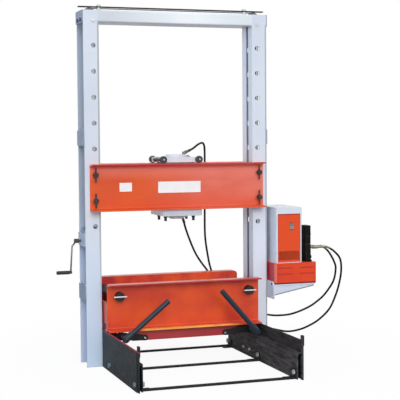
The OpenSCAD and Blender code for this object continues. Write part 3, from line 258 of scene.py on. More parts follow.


# ---------- marks in the paint, and painted light and shade ---

# Faces and edges, in metres: from the frame's boxes, or repeated from part.scad's own values.
# Soft patches are placed one by one.
(LEG_IN, SLIT, _), (LEG_OUT, LEG_BACK, FRAME_TOP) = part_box("right_rear_upright")
LEG_T = 0.0095
LEG_FLANGE, LEG_WEB = LEG_IN + LEG_T, LEG_BACK - LEG_T
HOLE_TOP, HOLE_PITCH = 2.085, 0.1668
RAIL_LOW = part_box("top_rail")[0][2]
TRACK_T, TRACK_TOP = 0.010, 0.243
CHANNEL_WEB = 0.008
HEAD_LOW, HEAD_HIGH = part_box("head_front_channel")
HEAD_WEB = HEAD_HIGH[1] - CHANNEL_WEB
BED_LOW, BED_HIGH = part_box("bed_front_channel")
TANK, PANEL, COVER, CLAMP = (
    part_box(name) for name in ("pump_tank", "pump_panel", "pump_cover", "clamp_plate"))
PANEL_IN = 0.003
BRACKET_T = 0.008
BRACKET_SLOPE, BRACKET_Z = 0.1856, 0.3006    # its lower edge at x is BRACKET_SLOPE * x + BRACKET_Z
PIN_FACE = -0.250


def bed_marks(s, color):
    """Dull red patches where the paint has aged, a crimson lip, a yellow streak low on the front, and
    painted shade, crimson, at the left end's rear.
    """
    x, y, z = s.xyz()
    front, low, top = BED_LOW[1], BED_LOW[2], BED_HIGH[2]
    high = s.ramp(z, 0.40, 0.53, 0.10, 0.8)
    right = s.ramp(x, -0.05, 0.45, 0.2, 0.8)
    left = s.ramp(x, -0.38, -0.50, 0, 0.7)
    blotch = s.ramp(s.noise(5.5, 3, 0.55), 0.40, 0.58)
    color = s.over(color, (0.46, 0.022, 0.024), s.all_of(s.any_of(high, right, left), blotch), 0.75)
    # painted shade: the left end behind the front channel is darkened to crimson
    corner = s.all_of(s.ramp(x, -0.340, -0.385), s.ramp(y, 0.0, 0.05))
    color = s.over(color, (0.42, 0.018, 0.028), corner, 0.85)
    lip = s.all_of(s.ramp(z, top - 0.0118, top - 0.0098), s.ramp(y, front + 0.0090, front + 0.0055))
    color = s.over(color, (0.40, 0.020, 0.034), lip, 0.8)
    streak = s.all_of(
        s.ramp(x, -0.33, -0.28), s.ramp(x, 0.40, 0.30),
        s.ramp(z, low + 0.0005, low + 0.0025), s.ramp(z, low + 0.029, low + 0.020),
        s.ramp(y, front + 0.039, front + 0.025),
        s.ramp(s.noise(9, 4, 0.6, (1, 1, 4)), 0.3, 0.6, 0.55, 1))
    return s.over(color, (0.96, 0.52, 0.11), streak, 0.9)


def track_marks(s, color):
    """Grey streaks on the right track's inside, and red overspray on the left track's top edge."""
    x, _, z = s.xyz()
    inside = LEG_IN - TRACK_T
    streaks = s.all_of(
        s.ramp(x, 0.40, 0.42), s.ramp(x, inside + 0.0005, inside - 0.0005),
        s.ramp(s.noise(60, 5, 0.65, (1, 0.12, 1)), 0.38, 0.62),
        s.ramp(s.noise(7, 4, 0.6, (1, 0.5, 1)), 0.35, 0.65, 0.35, 1))
    color = s.over(color, (0.140, 0.130, 0.130), streaks, 0.9)
    lip = s.all_of(
        s.ramp(z, TRACK_TOP - 0.0045, TRACK_TOP - 0.0025), s.ramp(z, TRACK_TOP + 0.003, TRACK_TOP + 0.001),
        s.ramp(x, -0.40, -0.45))
    return s.over(color, (0.36, 0.03, 0.045), lip)


def head_marks(s, color):
    """Painted pink sheen to the right; painted light under the top flange against its shadow, bright red at
    the web's root; a crimson lip.
    """
    x, y, z = s.xyz()
    toe, top = HEAD_LOW[1], HEAD_HIGH[2]
    # painted reflection: a pinkish sheen towards the right and the top
    painted_sheen = s.all_of(
        s.ramp(x, -0.25, 0.25), s.ramp(z, 1.04, 1.26, 0.35, 1),
        s.ramp(s.noise(3.0, 2, 0.5, (1, 1, 3)), 0.3, 0.6, 0.5, 1))
    color = s.over(color, (0.84, 0.26, 0.215), painted_sheen, 0.72)
    face = s.ramp(y, HEAD_WEB - 0.002, HEAD_WEB - 0.001)
    # painted light under the top flange, paler pink, to lift the flange's shadow
    color = s.over(color, (0.90, 0.26, 0.20), s.all_of(s.ramp(z, top - 0.11, top - 0.03), face), 0.55)
    color = s.over(color, (1.0, 0.30, 0.22), s.all_of(s.ramp(z, top - 0.050, top - 0.026), face), 0.60)
    # painted light, bright red, in the flange's shadow at the web's root
    shaded_root = s.all_of(s.ramp(z, top - 0.036, top - 0.022), face)
    color = s.over(color, (1.0, 0.090, 0.080), shaded_root, 0.85)
    lip = s.all_of(s.ramp(z, top - 0.014, top - 0.0125), s.ramp(y, toe + 0.004, toe + 0.002))
    return s.over(color, (0.40, 0.020, 0.030), lip, 0.85)


def right_rear_marks(s, color):
    """Painted shade: blue-black in the leg's root, black behind the front leg's holes, dark blue on the
    flange's end in the slit; painted light on the inner face.
    """
    x, y, z = s.xyz()
    web = s.ramp(y, LEG_WEB + 0.0006, LEG_WEB + 0.0003)
    # painted shade in the leg's root, inside the box section
    shaded_root = s.all_of(web, s.ramp(x, LEG_FLANGE + 0.0005, LEG_FLANGE + 0.0025), s.ramp(x, 0.590, 0.574))
    row = s.math("MULTIPLY", s.math("SUBTRACT", z, HOLE_TOP), 1 / HOLE_PITCH)
    from_hole = s.math("ABSOLUTE", s.math("SUBTRACT", s.math("FRACT", s.math("ADD", row, 0.5)), 0.5))
    # painted shade behind each of the front leg's holes
    shade_behind_holes = s.all_of(
        web, s.ramp(x, 0.604, 0.613), s.ramp(from_hole, 0.21, 0.15),
        s.ramp(z, 0.85, 0.87), s.ramp(z, 2.16, 2.14))
    # painted shade on the flange's end, seen in the slit
    toe = s.all_of(
        s.ramp(y, SLIT + 0.0011, SLIT + 0.0003), s.ramp(x, LEG_FLANGE + 0.0020, LEG_FLANGE + 0.0005))
    # painted light: the inner face is paler
    color = s.over(color, (0.84, 0.90, 1.0), s.ramp(x, LEG_IN + 0.0010, LEG_IN + 0.0004))
    color = s.over(color, (0.060, 0.075, 0.125), shaded_root)
    color = s.over(color, (0.010, 0.010, 0.012), shade_behind_holes)
    return s.over(color, (0.23, 0.30, 0.50), toe)


def left_rear_marks(s, color):
    """Painted shade, bluish, inside the left rear leg, lighter and bluer low down as painted light; painted
    light on its flange towards the holes.
    """
    x, y, z = s.xyz()
    web = s.ramp(y, LEG_WEB + 0.0006, LEG_WEB + 0.0003)
    # painted shade on the rear web inside the leg, with painted blue light low down
    color = s.over(color, (0.44, 0.52, 0.64), web)
    color = s.over(color, (0.54, 0.63, 0.84), s.all_of(web, s.ramp(z, 1.05, 0.80)))
    # painted light on the flange's inner face, seen through the holes
    lit_flange = s.all_of(
        s.ramp(x, -LEG_FLANGE - 0.0010, -LEG_FLANGE - 0.0002), s.ramp(x, -LEG_IN - 0.0003, -LEG_IN - 0.0007))
    return s.over(color, (0.95, 0.96, 0.97), lit_flange)


def front_leg_marks(s, color):
    """Painted shade along each front leg's right corner and inside the left leg; painted light on the right
    leg's inner face, and bluish low down.
    """
    x, y, z = s.xyz()
    left, right = s.ramp(x, -0.50, -0.51), s.ramp(x, 0.50, 0.51)
    # painted shade along the right corners
    corners = s.math("ADD", s.all_of(s.ramp(x, -LEG_FLANGE - 0.002, -LEG_FLANGE), left),
                     s.ramp(x, LEG_OUT - 0.0105, LEG_OUT - 0.0085))
    face = s.ramp(y, -LEG_WEB + 0.001, -LEG_WEB - 0.001)
    below_rail = s.ramp(z, RAIL_LOW + 0.016, RAIL_LOW - 0.004)
    color = s.over(color, (0.36, 0.38, 0.40), s.all_of(corners, face, below_rail))
    color = s.over(color, (0.34, 0.35, 0.36), s.ramp(z, 0.007, 0.004))
    # painted shade inside the left leg, seen through its holes
    shade_inside_leg = s.all_of(
        s.ramp(y, -LEG_WEB - 0.0002, -LEG_WEB + 0.0002),
        s.ramp(x, -LEG_FLANGE + 0.0005, -LEG_FLANGE + 0.0001))
    color = s.over(color, (0.22, 0.25, 0.31), shade_inside_leg)
    # painted light on the right leg's inner face
    lit_inner_face = s.all_of(right, s.ramp(x, LEG_IN + 0.0010, LEG_IN + 0.0004))
    color = s.over(color, (0.76, 0.87, 1.0), lit_inner_face)
    # painted light, bluish, low on the right leg
    low_blue_light = s.all_of(
        s.ramp(z, 1.10, 0.80), s.ramp(x, LEG_FLANGE + 0.0015, LEG_FLANGE + 0.0025),
        s.ramp(x, LEG_OUT - 0.0085, LEG_OUT - 0.0105))
    color = s.over(color, (0.70, 0.745, 0.86), low_blue_light, 0.6)
    # painted light, bluish, low on the left leg's outer face
    low = s.all_of(s.ramp(z, 0.95, 0.35), left, s.ramp(x, -LEG_OUT + 0.0004, -LEG_OUT + 0.0010))
    return s.over(color, (0.53, 0.67, 0.85), low, 0.8)


def rail_marks(s, color):
    """Painted shade towards both ends of the rail, leaving a painted highlight in its middle, and painted
    shade under it.
    """
    x, _, z = s.xyz()
    # painted shade under the rail
    color = s.over(color, (0.42, 0.47, 0.60), s.ramp(z, RAIL_LOW + 0.0010, RAIL_LOW + 0.0003))
    # painted shade towards both ends, leaving a painted highlight in the middle
    color = s.over(color, (0.56, 0.60, 0.655), s.ramp(x, 0.02, -0.45))
    return s.over(color, (0.64, 0.69, 0.74), s.ramp(x, 0.15, 0.50, 0, 0.8))


def tank_marks(s, color):
    """Painted shade in the pressed ribs' hollows, dark red along the right and bottom edges, a painted
    highlight on the left corner, and painted shade, crimson, on the left side.
    """
    x, y, z = s.xyz()
    (x0, y0, z0), (x1, _, z1) = TANK
    front = s.ramp(y, y0 + 0.0060, y0 + 0.0040)
    # painted shade in the ribs' hollows
    for level in (z1 - 0.031, z1 - 0.071):
        line = s.all_of(s.ramp(z, level - 0.0090, level - 0.0045), s.ramp(z, level + 0.0060, level + 0.0025))
        for start in (x0 + 0.022, x1 - 0.128):
            span = s.all_of(s.ramp(x, start - 0.004, start + 0.004), s.ramp(x, start + 0.110, start + 0.102))
            color = s.over(color, (0.42, 0.018, 0.022), s.all_of(front, line, span), 0.5)
    near = s.ramp(y, y0 + 0.022, y0 + 0.018)
    rim = s.any_of(s.ramp(x, x1 - 0.012, x1 - 0.009), s.ramp(z, z0 + 0.012, z0 + 0.009))
    color = s.over(color, (0.16, 0.012, 0.014), s.all_of(near, rim), 0.9)
    # painted highlight on the left front corner
    corner_highlight = s.all_of(near, s.ramp(x, x0 + 0.017, x0 + 0.012), s.ramp(z, z0 + 0.010, z0 + 0.016))
    color = s.over(color, (0.66, 0.28, 0.21), corner_highlight, 0.55)
    # painted shade on the left side face
    side = s.all_of(s.ramp(x, x0 + 0.0010, x0 + 0.0004), s.ramp(y, y0 + 0.018, y0 + 0.022))
    return s.over(color, (0.52, 0.020, 0.050), side)


def panel_marks(s, color):
    """Dark red line round the panel."""
    x, _, z = s.xyz()
    left, right, top = PANEL[0][0] + PANEL_IN, PANEL[1][0] - PANEL_IN, PANEL[1][2]
    rim = s.any_of(
        s.ramp(x, left + 0.006, left + 0.003), s.ramp(x, right - 0.003, right),
        s.ramp(z, top - 0.013, top - 0.010))
    return s.over(color, (0.30, 0.018, 0.020), rim, 0.75)


def lit_left_end(box, rgb):
    """Painted light: a paler tone on the face at the box's left end."""
    def mark(s, color):
        x, _, _ = s.xyz()
        return s.over(color, rgb, s.ramp(x, box[0][0] + 0.0010, box[0][0] + 0.0004))
    return mark


def bracket_marks(s, color):
    """Painted shade along the front web's sloping lower edge, and painted light on the back plate."""
    x, y, z = s.xyz()
    lower_edge = s.math("ADD", s.math("MULTIPLY", x, BRACKET_SLOPE), BRACKET_Z)
    plate = LEG_OUT + BRACKET_T
    # painted shade along the sloping lower edge
    edge = s.all_of(
        s.ramp(s.math("SUBTRACT", z, lower_edge), 0.010, 0.006), s.ramp(y, -0.185, -0.19),
        s.ramp(x, plate + 0.0002, plate + 0.0008))
    color = s.over(color, (0.13, 0.14, 0.155), edge, 0.8)
    # painted light on the back plate's left face
    back = s.all_of(
        s.ramp(x, LEG_OUT + 0.0016, LEG_OUT + 0.0012), s.ramp(y, -LEG_BACK - 0.0005, -LEG_BACK - 0.0025))
    return s.over(color, (0.66, 0.75, 0.92), back)


def tie_marks(s, color):
    """Paler paint on the plate that the crank's shaft comes through."""
    _, _, z = s.xyz()
    return s.over(color, (0.42, 0.50, 0.67), s.all_of(s.ramp(z, 0.775, 0.782), s.ramp(z, 0.90, 0.89)))


def winch_marks(s, color):
    """Near black on the winch's inner half."""
    x, _, _ = s.xyz()
    return s.over(color, (0.045, 0.050, 0.072), s.ramp(x, -0.612, -0.600))


def crank_marks(s, color, metal):
    """Bare metal on the crank's arm, blacker towards the grip and on the hub."""
    _, _, z = s.xyz()
    bare = s.all_of(s.ramp(z, 0.62, 0.76), s.ramp(z, 0.798, 0.790))
    return s.over(color, (0.27, 0.265, 0.26), bare), metal


def pin_marks(s, color, metal):
    """The plated rod across the pin's face."""
    _, y, _ = s.xyz()
    return s.over(color, (0.72, 0.72, 0.73), s.ramp(y, PIN_FACE, PIN_FACE - 0.0002)), metal


def bolt_marks(s, color, metal):
    """Black heads high on the left side, blue-grey ones at its foot; painted keeper's posts."""
    x, _, z = s.xyz()
    black = s.all_of(s.ramp(x, -LEG_OUT + 0.001, -LEG_OUT - 0.001), s.ramp(z, 2.20, 2.21))
    color = s.over(color, (0.075, 0.090, 0.160), black)
    low = s.all_of(s.ramp(x, -LEG_IN + 0.001, -LEG_IN - 0.001), s.ramp(z, 0.30, 0.29))
    color = s.over(color, (0.20, 0.29, 0.34), low)
    post = s.ramp(z, FRAME_TOP - 0.0005, FRAME_TOP)
    metal = s.math("SUBTRACT", 0.8, s.math("MULTIPLY", post, 0.8))
    return s.over(color, (0.56, 0.62, 0.58), post), metal


# ---------- materials ----------

FRAME, FRAME_DARK = (0.63, 0.675, 0.765), (0.57, 0.615, 0.715)
FRAME_PAINT = dict(rough=0.36, wear_and_highlight=(0.86, 0.88, 0.92))
PUMP_PAINT = dict(rough=0.34, wear_and_highlight=(0.84, 0.34, 0.26), patch=3.1, coat=0.1, spec=0.2)
BED_PAINT = dict(
    rough=0.34, wear_and_highlight=(0.84, 0.42, 0.36), wear_and_highlight_share=0.6, patch=4.2, coat=0.2, spec=0.3, extra=bed_marks)
TROLLEY_PAINT = dict(rough=0.42, wear_and_highlight=(0.5, 0.5, 0.52), wear_and_highlight_share=0.4, patch=9)

MATS = {
    # frame
    "front_leg_paint": paint(
        "front_leg_enamel", FRAME, FRAME_DARK, wear_and_highlight_share=0.15, extra=front_leg_marks, **FRAME_PAINT),
    "left_rear_leg_paint": paint(
        "left_rear_leg_enamel", FRAME, FRAME_DARK, wear_and_highlight_share=0.5, extra=left_rear_marks, **FRAME_PAINT),
    "right_rear_leg_paint": paint(
        "right_rear_leg_enamel", FRAME, FRAME_DARK, wear_and_highlight_share=0.5, extra=right_rear_marks, **FRAME_PAINT),
    "bracket_paint": paint(
        "bracket_enamel", (0.60, 0.65, 0.76), (0.54, 0.59, 0.70), wear_and_highlight_share=0.5, extra=bracket_marks,
        **FRAME_PAINT),
    "rail_paint": paint(
        "rail_enamel", (0.80, 0.83, 0.86), (0.70, 0.74, 0.79), rough=0.36, wear_and_highlight=(0.9, 0.9, 0.92),
        wear_and_highlight_share=0.5, extra=rail_marks),
    "tie_paint": paint(
        "tie_enamel", (0.245, 0.32, 0.45), (0.20, 0.27, 0.39), rough=0.45, wear_and_highlight=(0.7, 0.74, 0.8),
        wear_and_highlight_share=0.5, coat=0.1, spec=0.3, extra=tie_marks),
    "track_paint": paint(
        "track_enamel", (0.009, 0.013, 0.018), (0.024, 0.025, 0.028), rough=0.48,
        wear_and_highlight=(0.20, 0.20, 0.21), wear_and_highlight_share=0.5, patch=8, coat=0.0, spec=0.18, extra=track_marks),
    "black_paint": paint(
        "black_enamel", (0.010, 0.010, 0.011), (0.020, 0.020, 0.022), rough=0.45,
        wear_and_highlight=(0.16, 0.16, 0.17), wear_and_highlight_share=0.5, patch=6, coat=0.0, spec=0.25),
    "bright_steel": steel("zinc_plate", (0.62, 0.63, 0.66), 0.34),
    "bolt_steel": steel("bolt_plate", (0.60, 0.61, 0.63), 0.42, extra=bolt_marks),
    # lifting gear
    "winch_paint": paint(
        "winch_enamel", (0.36, 0.42, 0.56), (0.30, 0.36, 0.49), rough=0.36, wear_and_highlight=(0.66, 0.70, 0.78),
        wear_and_highlight_share=0.5, extra=winch_marks),
    "crank_steel": steel(
        "crank_steel", (0.045, 0.047, 0.055), 0.45, dark=(0.075, 0.078, 0.088), metal=0.3,
        extra=crank_marks),
    "grip_plastic": cast("grip_rubber", (0.006, 0.009, 0.016), 0.6),
    "cast_iron": cast("cast_iron", (0.075, 0.078, 0.084), 0.6),
    # head and cylinder carriage
    "head_paint": paint(
        "head_enamel", (0.70, 0.090, 0.013), (0.60, 0.050, 0.014), rough=0.32,
        wear_and_highlight=(0.86, 0.42, 0.34), wear_and_highlight_share=0.55, patch=2.2, coat=0.15, spec=0.3, extra=head_marks),
    "light_paint": paint("trolley_enamel", (0.66, 0.69, 0.76), (0.57, 0.60, 0.67), **TROLLEY_PAINT),
    "clamp_paint": paint(
        "clamp_enamel", (0.55, 0.575, 0.64), (0.47, 0.50, 0.57),
        extra=lit_left_end(CLAMP, (0.94, 0.97, 1.0)), **TROLLEY_PAINT),
    "black_steel": steel(
        "black_oxide", (0.022, 0.022, 0.024), 0.48, dark=(0.050, 0.050, 0.053), metal=0.3),
    "wheel_iron": cast("wheel_iron", (0.020, 0.022, 0.027), 0.5),
    "chrome": steel("hard_chrome", (0.78, 0.79, 0.81), 0.12, stretch=(1, 1, 14)),
    "fitting_brass": steel("dull_plate", (0.24, 0.23, 0.20), 0.4, dark=(0.13, 0.125, 0.11)),
    "port_steel": steel("port_steel", (0.10, 0.10, 0.105), 0.4, dark=(0.05, 0.05, 0.052)),
    # bed
    "bed_paint": paint("bed_enamel", (0.71, 0.078, 0.013), (0.53, 0.036, 0.018), **BED_PAINT),
    "bed_rear_paint": paint("bed_rear_enamel", (0.86, 0.105, 0.030), (0.66, 0.050, 0.034), **BED_PAINT),
    # painted shade: the lift bar is painted dark red, the bed's colour as it looks in the shade under the
    # bed
    "red_paint": paint("lift_bar_shaded_enamel", (0.43, 0.028, 0.032), (0.33, 0.018, 0.027), wear_and_highlight_share=0.4),
    "lever_paint": paint(
        "lever_enamel", (0.012, 0.024, 0.041), (0.009, 0.018, 0.030), rough=0.45,
        wear_and_highlight=(0.16, 0.18, 0.19), wear_and_highlight_share=0.4, patch=12, coat=0.0, spec=0.35),
    "bed_pin_steel": steel(
        "bed_pin_steel", (0.006, 0.006, 0.007), 0.50, dark=(0.016, 0.016, 0.017), metal=0.2,
        extra=pin_marks),
    # pump
    "tank_paint": paint(
        "tank_enamel", (0.69, 0.058, 0.016), (0.56, 0.034, 0.022), wear_and_highlight_share=0.15, edge=0.0035,
        extra=tank_marks, **PUMP_PAINT),
    "panel_paint": paint(
        "panel_enamel", (0.72, 0.070, 0.014), (0.66, 0.050, 0.014), wear_and_highlight_share=0.2, extra=panel_marks,
        **PUMP_PAINT),
    "cover_sheet": paint(
        "cover_enamel", (0.64, 0.68, 0.76), (0.58, 0.63, 0.73), rough=0.3, wear_and_highlight=(0.9, 0.9, 0.92),
        wear_and_highlight_share=0.4, edge=0.0015, coat=0.35, extra=lit_left_end(COVER, (0.74, 0.84, 1.0))),
    "valve_paint": paint(
        "valve_enamel", (0.0045, 0.0030, 0.0033), (0.008, 0.006, 0.006), rough=0.55,
        wear_and_highlight=(0.14, 0.14, 0.15), wear_and_highlight_share=0.6, edge=0.0035, patch=14, coat=0.0, spec=0.12),
    "coupler_plate": steel("coupler_plate", (0.34, 0.32, 0.27), 0.42, dark=(0.20, 0.19, 0.16)),
    "switch_plastic": paint(
        "switch_plastic", (0.24, 0.21, 0.20), (0.20, 0.18, 0.18), rough=0.32, wear_and_highlight=(0.4, 0.4, 0.4),
        wear_and_highlight_share=0.2, edge=0.001),
}

# nodes whose finish isn't simply their slot's
SPECIAL = {
    "front_leg_paint": ("left_front_upright", "right_front_upright"),
    "left_rear_leg_paint": ("left_rear_upright",),
    "right_rear_leg_paint": ("right_rear_upright",),
    "bracket_paint": ("pump_bracket",),
    "rail_paint": ("top_rail",),
    "tie_paint": ("tie_plates",),
    "track_paint": ("left_track", "right_track"),
    "bolt_steel": ("frame_bolts",),
    "winch_paint": ("winch_frame", "winch_gear_case", "winch_drum"),
    "crank_steel": ("crank",),
    "head_paint": ("head_front_channel", "head_rear_channel", "head_spacers"),
    "light_paint": ("trolley_plate", "cylinder"),
    "clamp_paint": ("clamp_plate",),
    "wheel_iron": (
        "left_trolley_wheels", "right_trolley_wheels", "front_bed_wheels", "rear_bed_wheels"),
    "bed_paint": ("bed_front_channel", "bed_end_plates", "bed_spreaders"),
    "bed_rear_paint": ("bed_rear_channel",),
    "bed_pin_steel": ("left_bed_pin", "right_bed_pin"),
    "tank_paint": ("pump_tank",),
    "panel_paint": ("pump_panel",),
    "valve_paint": ("pump_valve",),
    "coupler_plate": ("pump_couplers",),
}


def dress(obj, mat):
    if not obj.material_slots:
        obj.data.materials.append(mat)
    for slot in obj.material_slots:
        slot.material = mat


finishes = {row["node"]: row["material_slot"] for row in frame["record"]["subparts"]}
for finish, names in SPECIAL.items():
    finishes.update((name, finish) for name in names)
# the ropes' and hoses' nodes are replaced further down, so any paint does for them
for name, obj in nodes.items():
    dress(obj, MATS.get(finishes[name], MATS["black_paint"]))


# ---------- mesh helpers ----------

def add_piece(name, mesh, mat, body):
    mesh.materials.append(mat)
    obj = add_object(name, mesh)
    if body:
        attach(obj, body)
    return obj


def mesh_piece(name, verts, faces, mat, body, uvs=None):
    mesh = bpy.data.meshes.new(name)
    mesh.from_pydata([tuple(v) for v in verts], [], faces)
    if uvs is not None:
        layer = mesh.uv_layers.new(name="UVMap")
        for loop in mesh.loops:
            layer.data[loop.index].uv = uvs[loop.vertex_index]
    mesh.update()
    mesh.shade_smooth()
    return add_piece(name, mesh, mat, body)


def bmesh_piece(name, bm, mat, body):
    bmesh.ops.recalc_face_normals(bm, faces=bm.faces)
    mesh = bpy.data.meshes.new(name)
    bm.to_mesh(mesh)
    bm.free()
    return add_piece(name, mesh, mat, body)


def rim(centre, across, up, r, angle):
    """The point of a circle round the centre at this angle, in the plane of across and up."""
    return centre + r * (math.cos(angle) * across + math.sin(angle) * up)


def skin(rings, sides):
    """Quads between rings of vertices, and a face at each end."""
    faces = []
    for i in range(rings - 1):
        for k in range(sides):
            n = (k + 1) % sides
            faces.append((i * sides + k, i * sides + n, (i + 1) * sides + n, (i + 1) * sides + k))
    faces.append(tuple(range(sides - 1, -1, -1)))
    faces.append(tuple((rings - 1) * sides + k for k in range(sides)))
    return faces


def tube(path, radius, sides=16, twist=0.0, lobes=0, depth=0.0):
    """Rings round a path; with lobes the section is a rope's, turned by twist radians a metre."""
    verts, uvs = [], []
    run = 0.0
    across = None
    for i, p in enumerate(path):
        way = (path[min(len(path) - 1, i + 1)] - path[max(0, i - 1)]).normalized()
        if across is None:
            aside = Vector((0, 1, 0)) if abs(way.y) < 0.9 else Vector((1, 0, 0))
            across = way.cross(aside).normalized()
        else:
            across = (across - way * across.dot(way)).normalized()
            run += (p - path[i - 1]).length
        up = way.cross(across)
        for k in range(sides):
            angle = 2 * math.pi * k / sides
            r = radius - depth * (0.5 - 0.5 * math.cos(lobes * angle))
            verts.append(rim(p, across, up, r, angle + twist * run))
            uvs.append((k / sides, run))
    return verts, skin(len(path), sides), uvs


def catmull(points, per):
    """A smooth curve through the points, with this many samples between each two."""
    pts = [2 * points[0] - points[1]] + points + [2 * points[-1] - points[-2]]
    out = []
    for i in range(1, len(pts) - 2):
        a, b, c, d = pts[i - 1:i + 3]
        for k in range(per):
            t = k / per
            out.append(0.5 * (2 * b + (c - a) * t + (2 * a - 5 * b + 4 * c - d) * t * t
                              + (3 * b - a - 3 * c + d) * t ** 3))
    out.append(pts[-2])
    return out


# ---------- hoses ----------

HOSE_R = 0.007
SLEEVE_L = 0.075
WRAP_PITCH, WRAP_TURNS = 0.0022, 12

# the routes, from the cylinder to the pump, in millimetres
ADVANCE = [
    (100, 16, 1396), (128, 36, 1405), (156, 58, 1416), (205, 100, 1441), (240, 134, 1451),
    (264, 160, 1447), (283, 190, 1416), (290, 207, 1332), (288, 210, 1158), (289, 212, 986),
    (295, 226, 808), (321, 253, 676), (361, 293, 555), (437, 327, 381), (559, 334, 230),
    (700, 302, 140), (838, 260, 104), (922, 225, 90), (1001, 190, 106), (1056, 142, 140),
    (1109, 98, 186), (1164, 50, 262), (1190, 10, 351), (1203, -30, 448), (1202, -68, 548),
    (1179, -100, 634), (1129, -122, 687), (1079, -135, 719), (1044, -138, 731),
    (1010, -138, 731)]
RETURN = [
    (84, 72, 936), (94, 82, 914), (110, 100, 874), (150, 142, 796), (211, 200, 693),
    (271, 255, 620), (339, 307, 548), (433, 341, 429), (556, 340, 299), (680, 312, 232),
    (783, 276, 212), (852, 246, 207), (943, 202, 220), (1045, 150, 268), (1105, 108, 320),
    (1144, 72, 372), (1183, 20, 466), (1178, -30, 560), (1152, -60, 612), (1109, -90, 668),
    (1069, -109, 708), (1030, -112, 731), (998, -112, 731)]


def hose_material():
    """Rubber hose: faint wrap marks, a dusty bloom, and an olive bend sleeve at the pump end."""
    s = Shader("hose_rubber")
    u, v, _ = s.xyz("UV")
    band = s.math("SINE", s.math("MULTIPLY", v, 2 * math.pi / WRAP_PITCH))
    turn = s.math("SINE", s.math("MULTIPLY", u, 2 * math.pi * WRAP_TURNS))
    bloom = s.ramp(s.noise(16, 4, 0.6), 0.4, 0.7)
    color = s.over((0.005, 0.005, 0.006), (0.012, 0.012, 0.013), bloom)
    color = s.over(color, (0.20, 0.19, 0.155), s.ramp(v, SLEEVE_L, SLEEVE_L - 0.004))
    roughness = s.ramp(s.noise(60, 3, 0.6), 0.3, 0.7, 0.42, 0.60)
    return s.finish(color, roughness, s.bump(s.all_of(band, turn), 0.00025), spec=0.15)


HOSE = hose_material()


def ferrule(name, at, way, body, mat):
    """Crimped sleeve with six flats pressed into its waist, and a collar at each end."""
    profile = ((0.0, 0.0080), (0.002, 0.0096), (0.007, 0.0096), (0.009, 0.0088), (0.024, 0.0088),
               (0.026, 0.0096), (0.031, 0.0096), (0.033, 0.0078))
    waist = (3, 4)
    sides = 24
    across = way.cross(Vector((0, 1, 0))).normalized()
    up = way.cross(across)
    verts = []
    for i, (along, r) in enumerate(profile):
        for k in range(sides):
            angle = 2 * math.pi * k / sides
            dent = 0.0006 * (0.5 + 0.5 * math.cos(6 * angle)) if i in waist else 0
            verts.append(rim(at + along * way, across, up, r - dent, angle))
    faces = skin(len(profile), sides)
    return mesh_piece(name, verts, faces, mat, body, [(0, 0)] * len(verts))


def make_hose(name, node, points):
    path = catmull([Vector(p) / 1000 for p in points], per=8)
    verts, faces, uvs = tube(path, HOSE_R)
    length = uvs[-1][1]
    from_pump = [(u, length - v) for u, v in uvs]
    obj = mesh_piece(name, verts, faces, HOSE, None, from_pump)
    start = ferrule(name + "_port_ferrule", path[0], (path[3] - path[0]).normalized(),
                    "carriage", MATS["port_steel"])
    end = ferrule(name + "_pump_ferrule", path[-1], (path[-4] - path[-1]).normalized(),
                  "frame", MATS["coupler_plate"])
    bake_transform(obj)
    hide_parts(node)


make_hose("advance_hose_cover", "advance_hose", ADVANCE)
make_hose("return_hose_cover", "return_hose", RETURN)


# ---------- ropes ----------

ROPE_R, ROPE_Y, ROPE_STEP = 0.003, 0.005, 0.0035
STRANDS, STRAND_DEPTH, STRAND_LAY = 6, 0.0007, 0.042
PITCH_R = 0.036
LUG_Z = 1.254
(_, _, DRUM_Z), (rope_right, _, rope_top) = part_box("long_lift_rope")
OUTER_X = rope_right - ROPE_R
SHEAVE_X, SHEAVE_Z = OUTER_X - PITCH_R, rope_top - ROPE_R - PITCH_R
INNER_X = SHEAVE_X - PITCH_R


def rope_material():
    """Greased wire, whose wires are fine bumps on the strands."""
    s = Shader("greased_wire")
    grease = s.ramp(s.noise(30, 4, 0.6), 0.35, 0.7)
    color = s.over((0.022, 0.022, 0.024), (0.070, 0.070, 0.070), grease)
    return s.finish(color, 0.5, s.bump(s.noise(900, 2, 0.5, (1, 1, 0.3)), 0.0002), metal=0.3)


ROPE = rope_material()


def straight(a, b):
    a, b = Vector(a), Vector(b)
    count = int((b - a).length / ROPE_STEP)
    return [a.lerp(b, i / count) for i in range(count + 1)]


def fall(x, y, z0, z1):
    """A rope's upright stretch."""
    return straight((x, y, z0), (x, y, z1))


def over_sheave(x, y, start, sweep):
    """A rope's bend round the sheave at x, from the start angle through the sweep, in degrees."""
    count = abs(sweep) // 5
    out = []
    for i in range(count + 1):
        a = math.radians(start + sweep * i / count)
        out.append(Vector((x + PITCH_R * math.cos(a), y, SHEAVE_Z + PITCH_R * math.sin(a))))
    return out


def joined(*runs):
    """The runs as one path, without the points that two runs share."""
    out = []
    for run in runs:
        for p in run:
            if not out or (p - out[-1]).length > 1e-5:
                out.append(p)
    return out


def lay_rope(name, node, path):
    verts, faces, uvs = tube(
        path, ROPE_R, 18, twist=2 * math.pi / STRAND_LAY, lobes=STRANDS, depth=STRAND_DEPTH)
    obj = mesh_piece(name, verts, faces, ROPE, "frame", uvs)
    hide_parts(node)


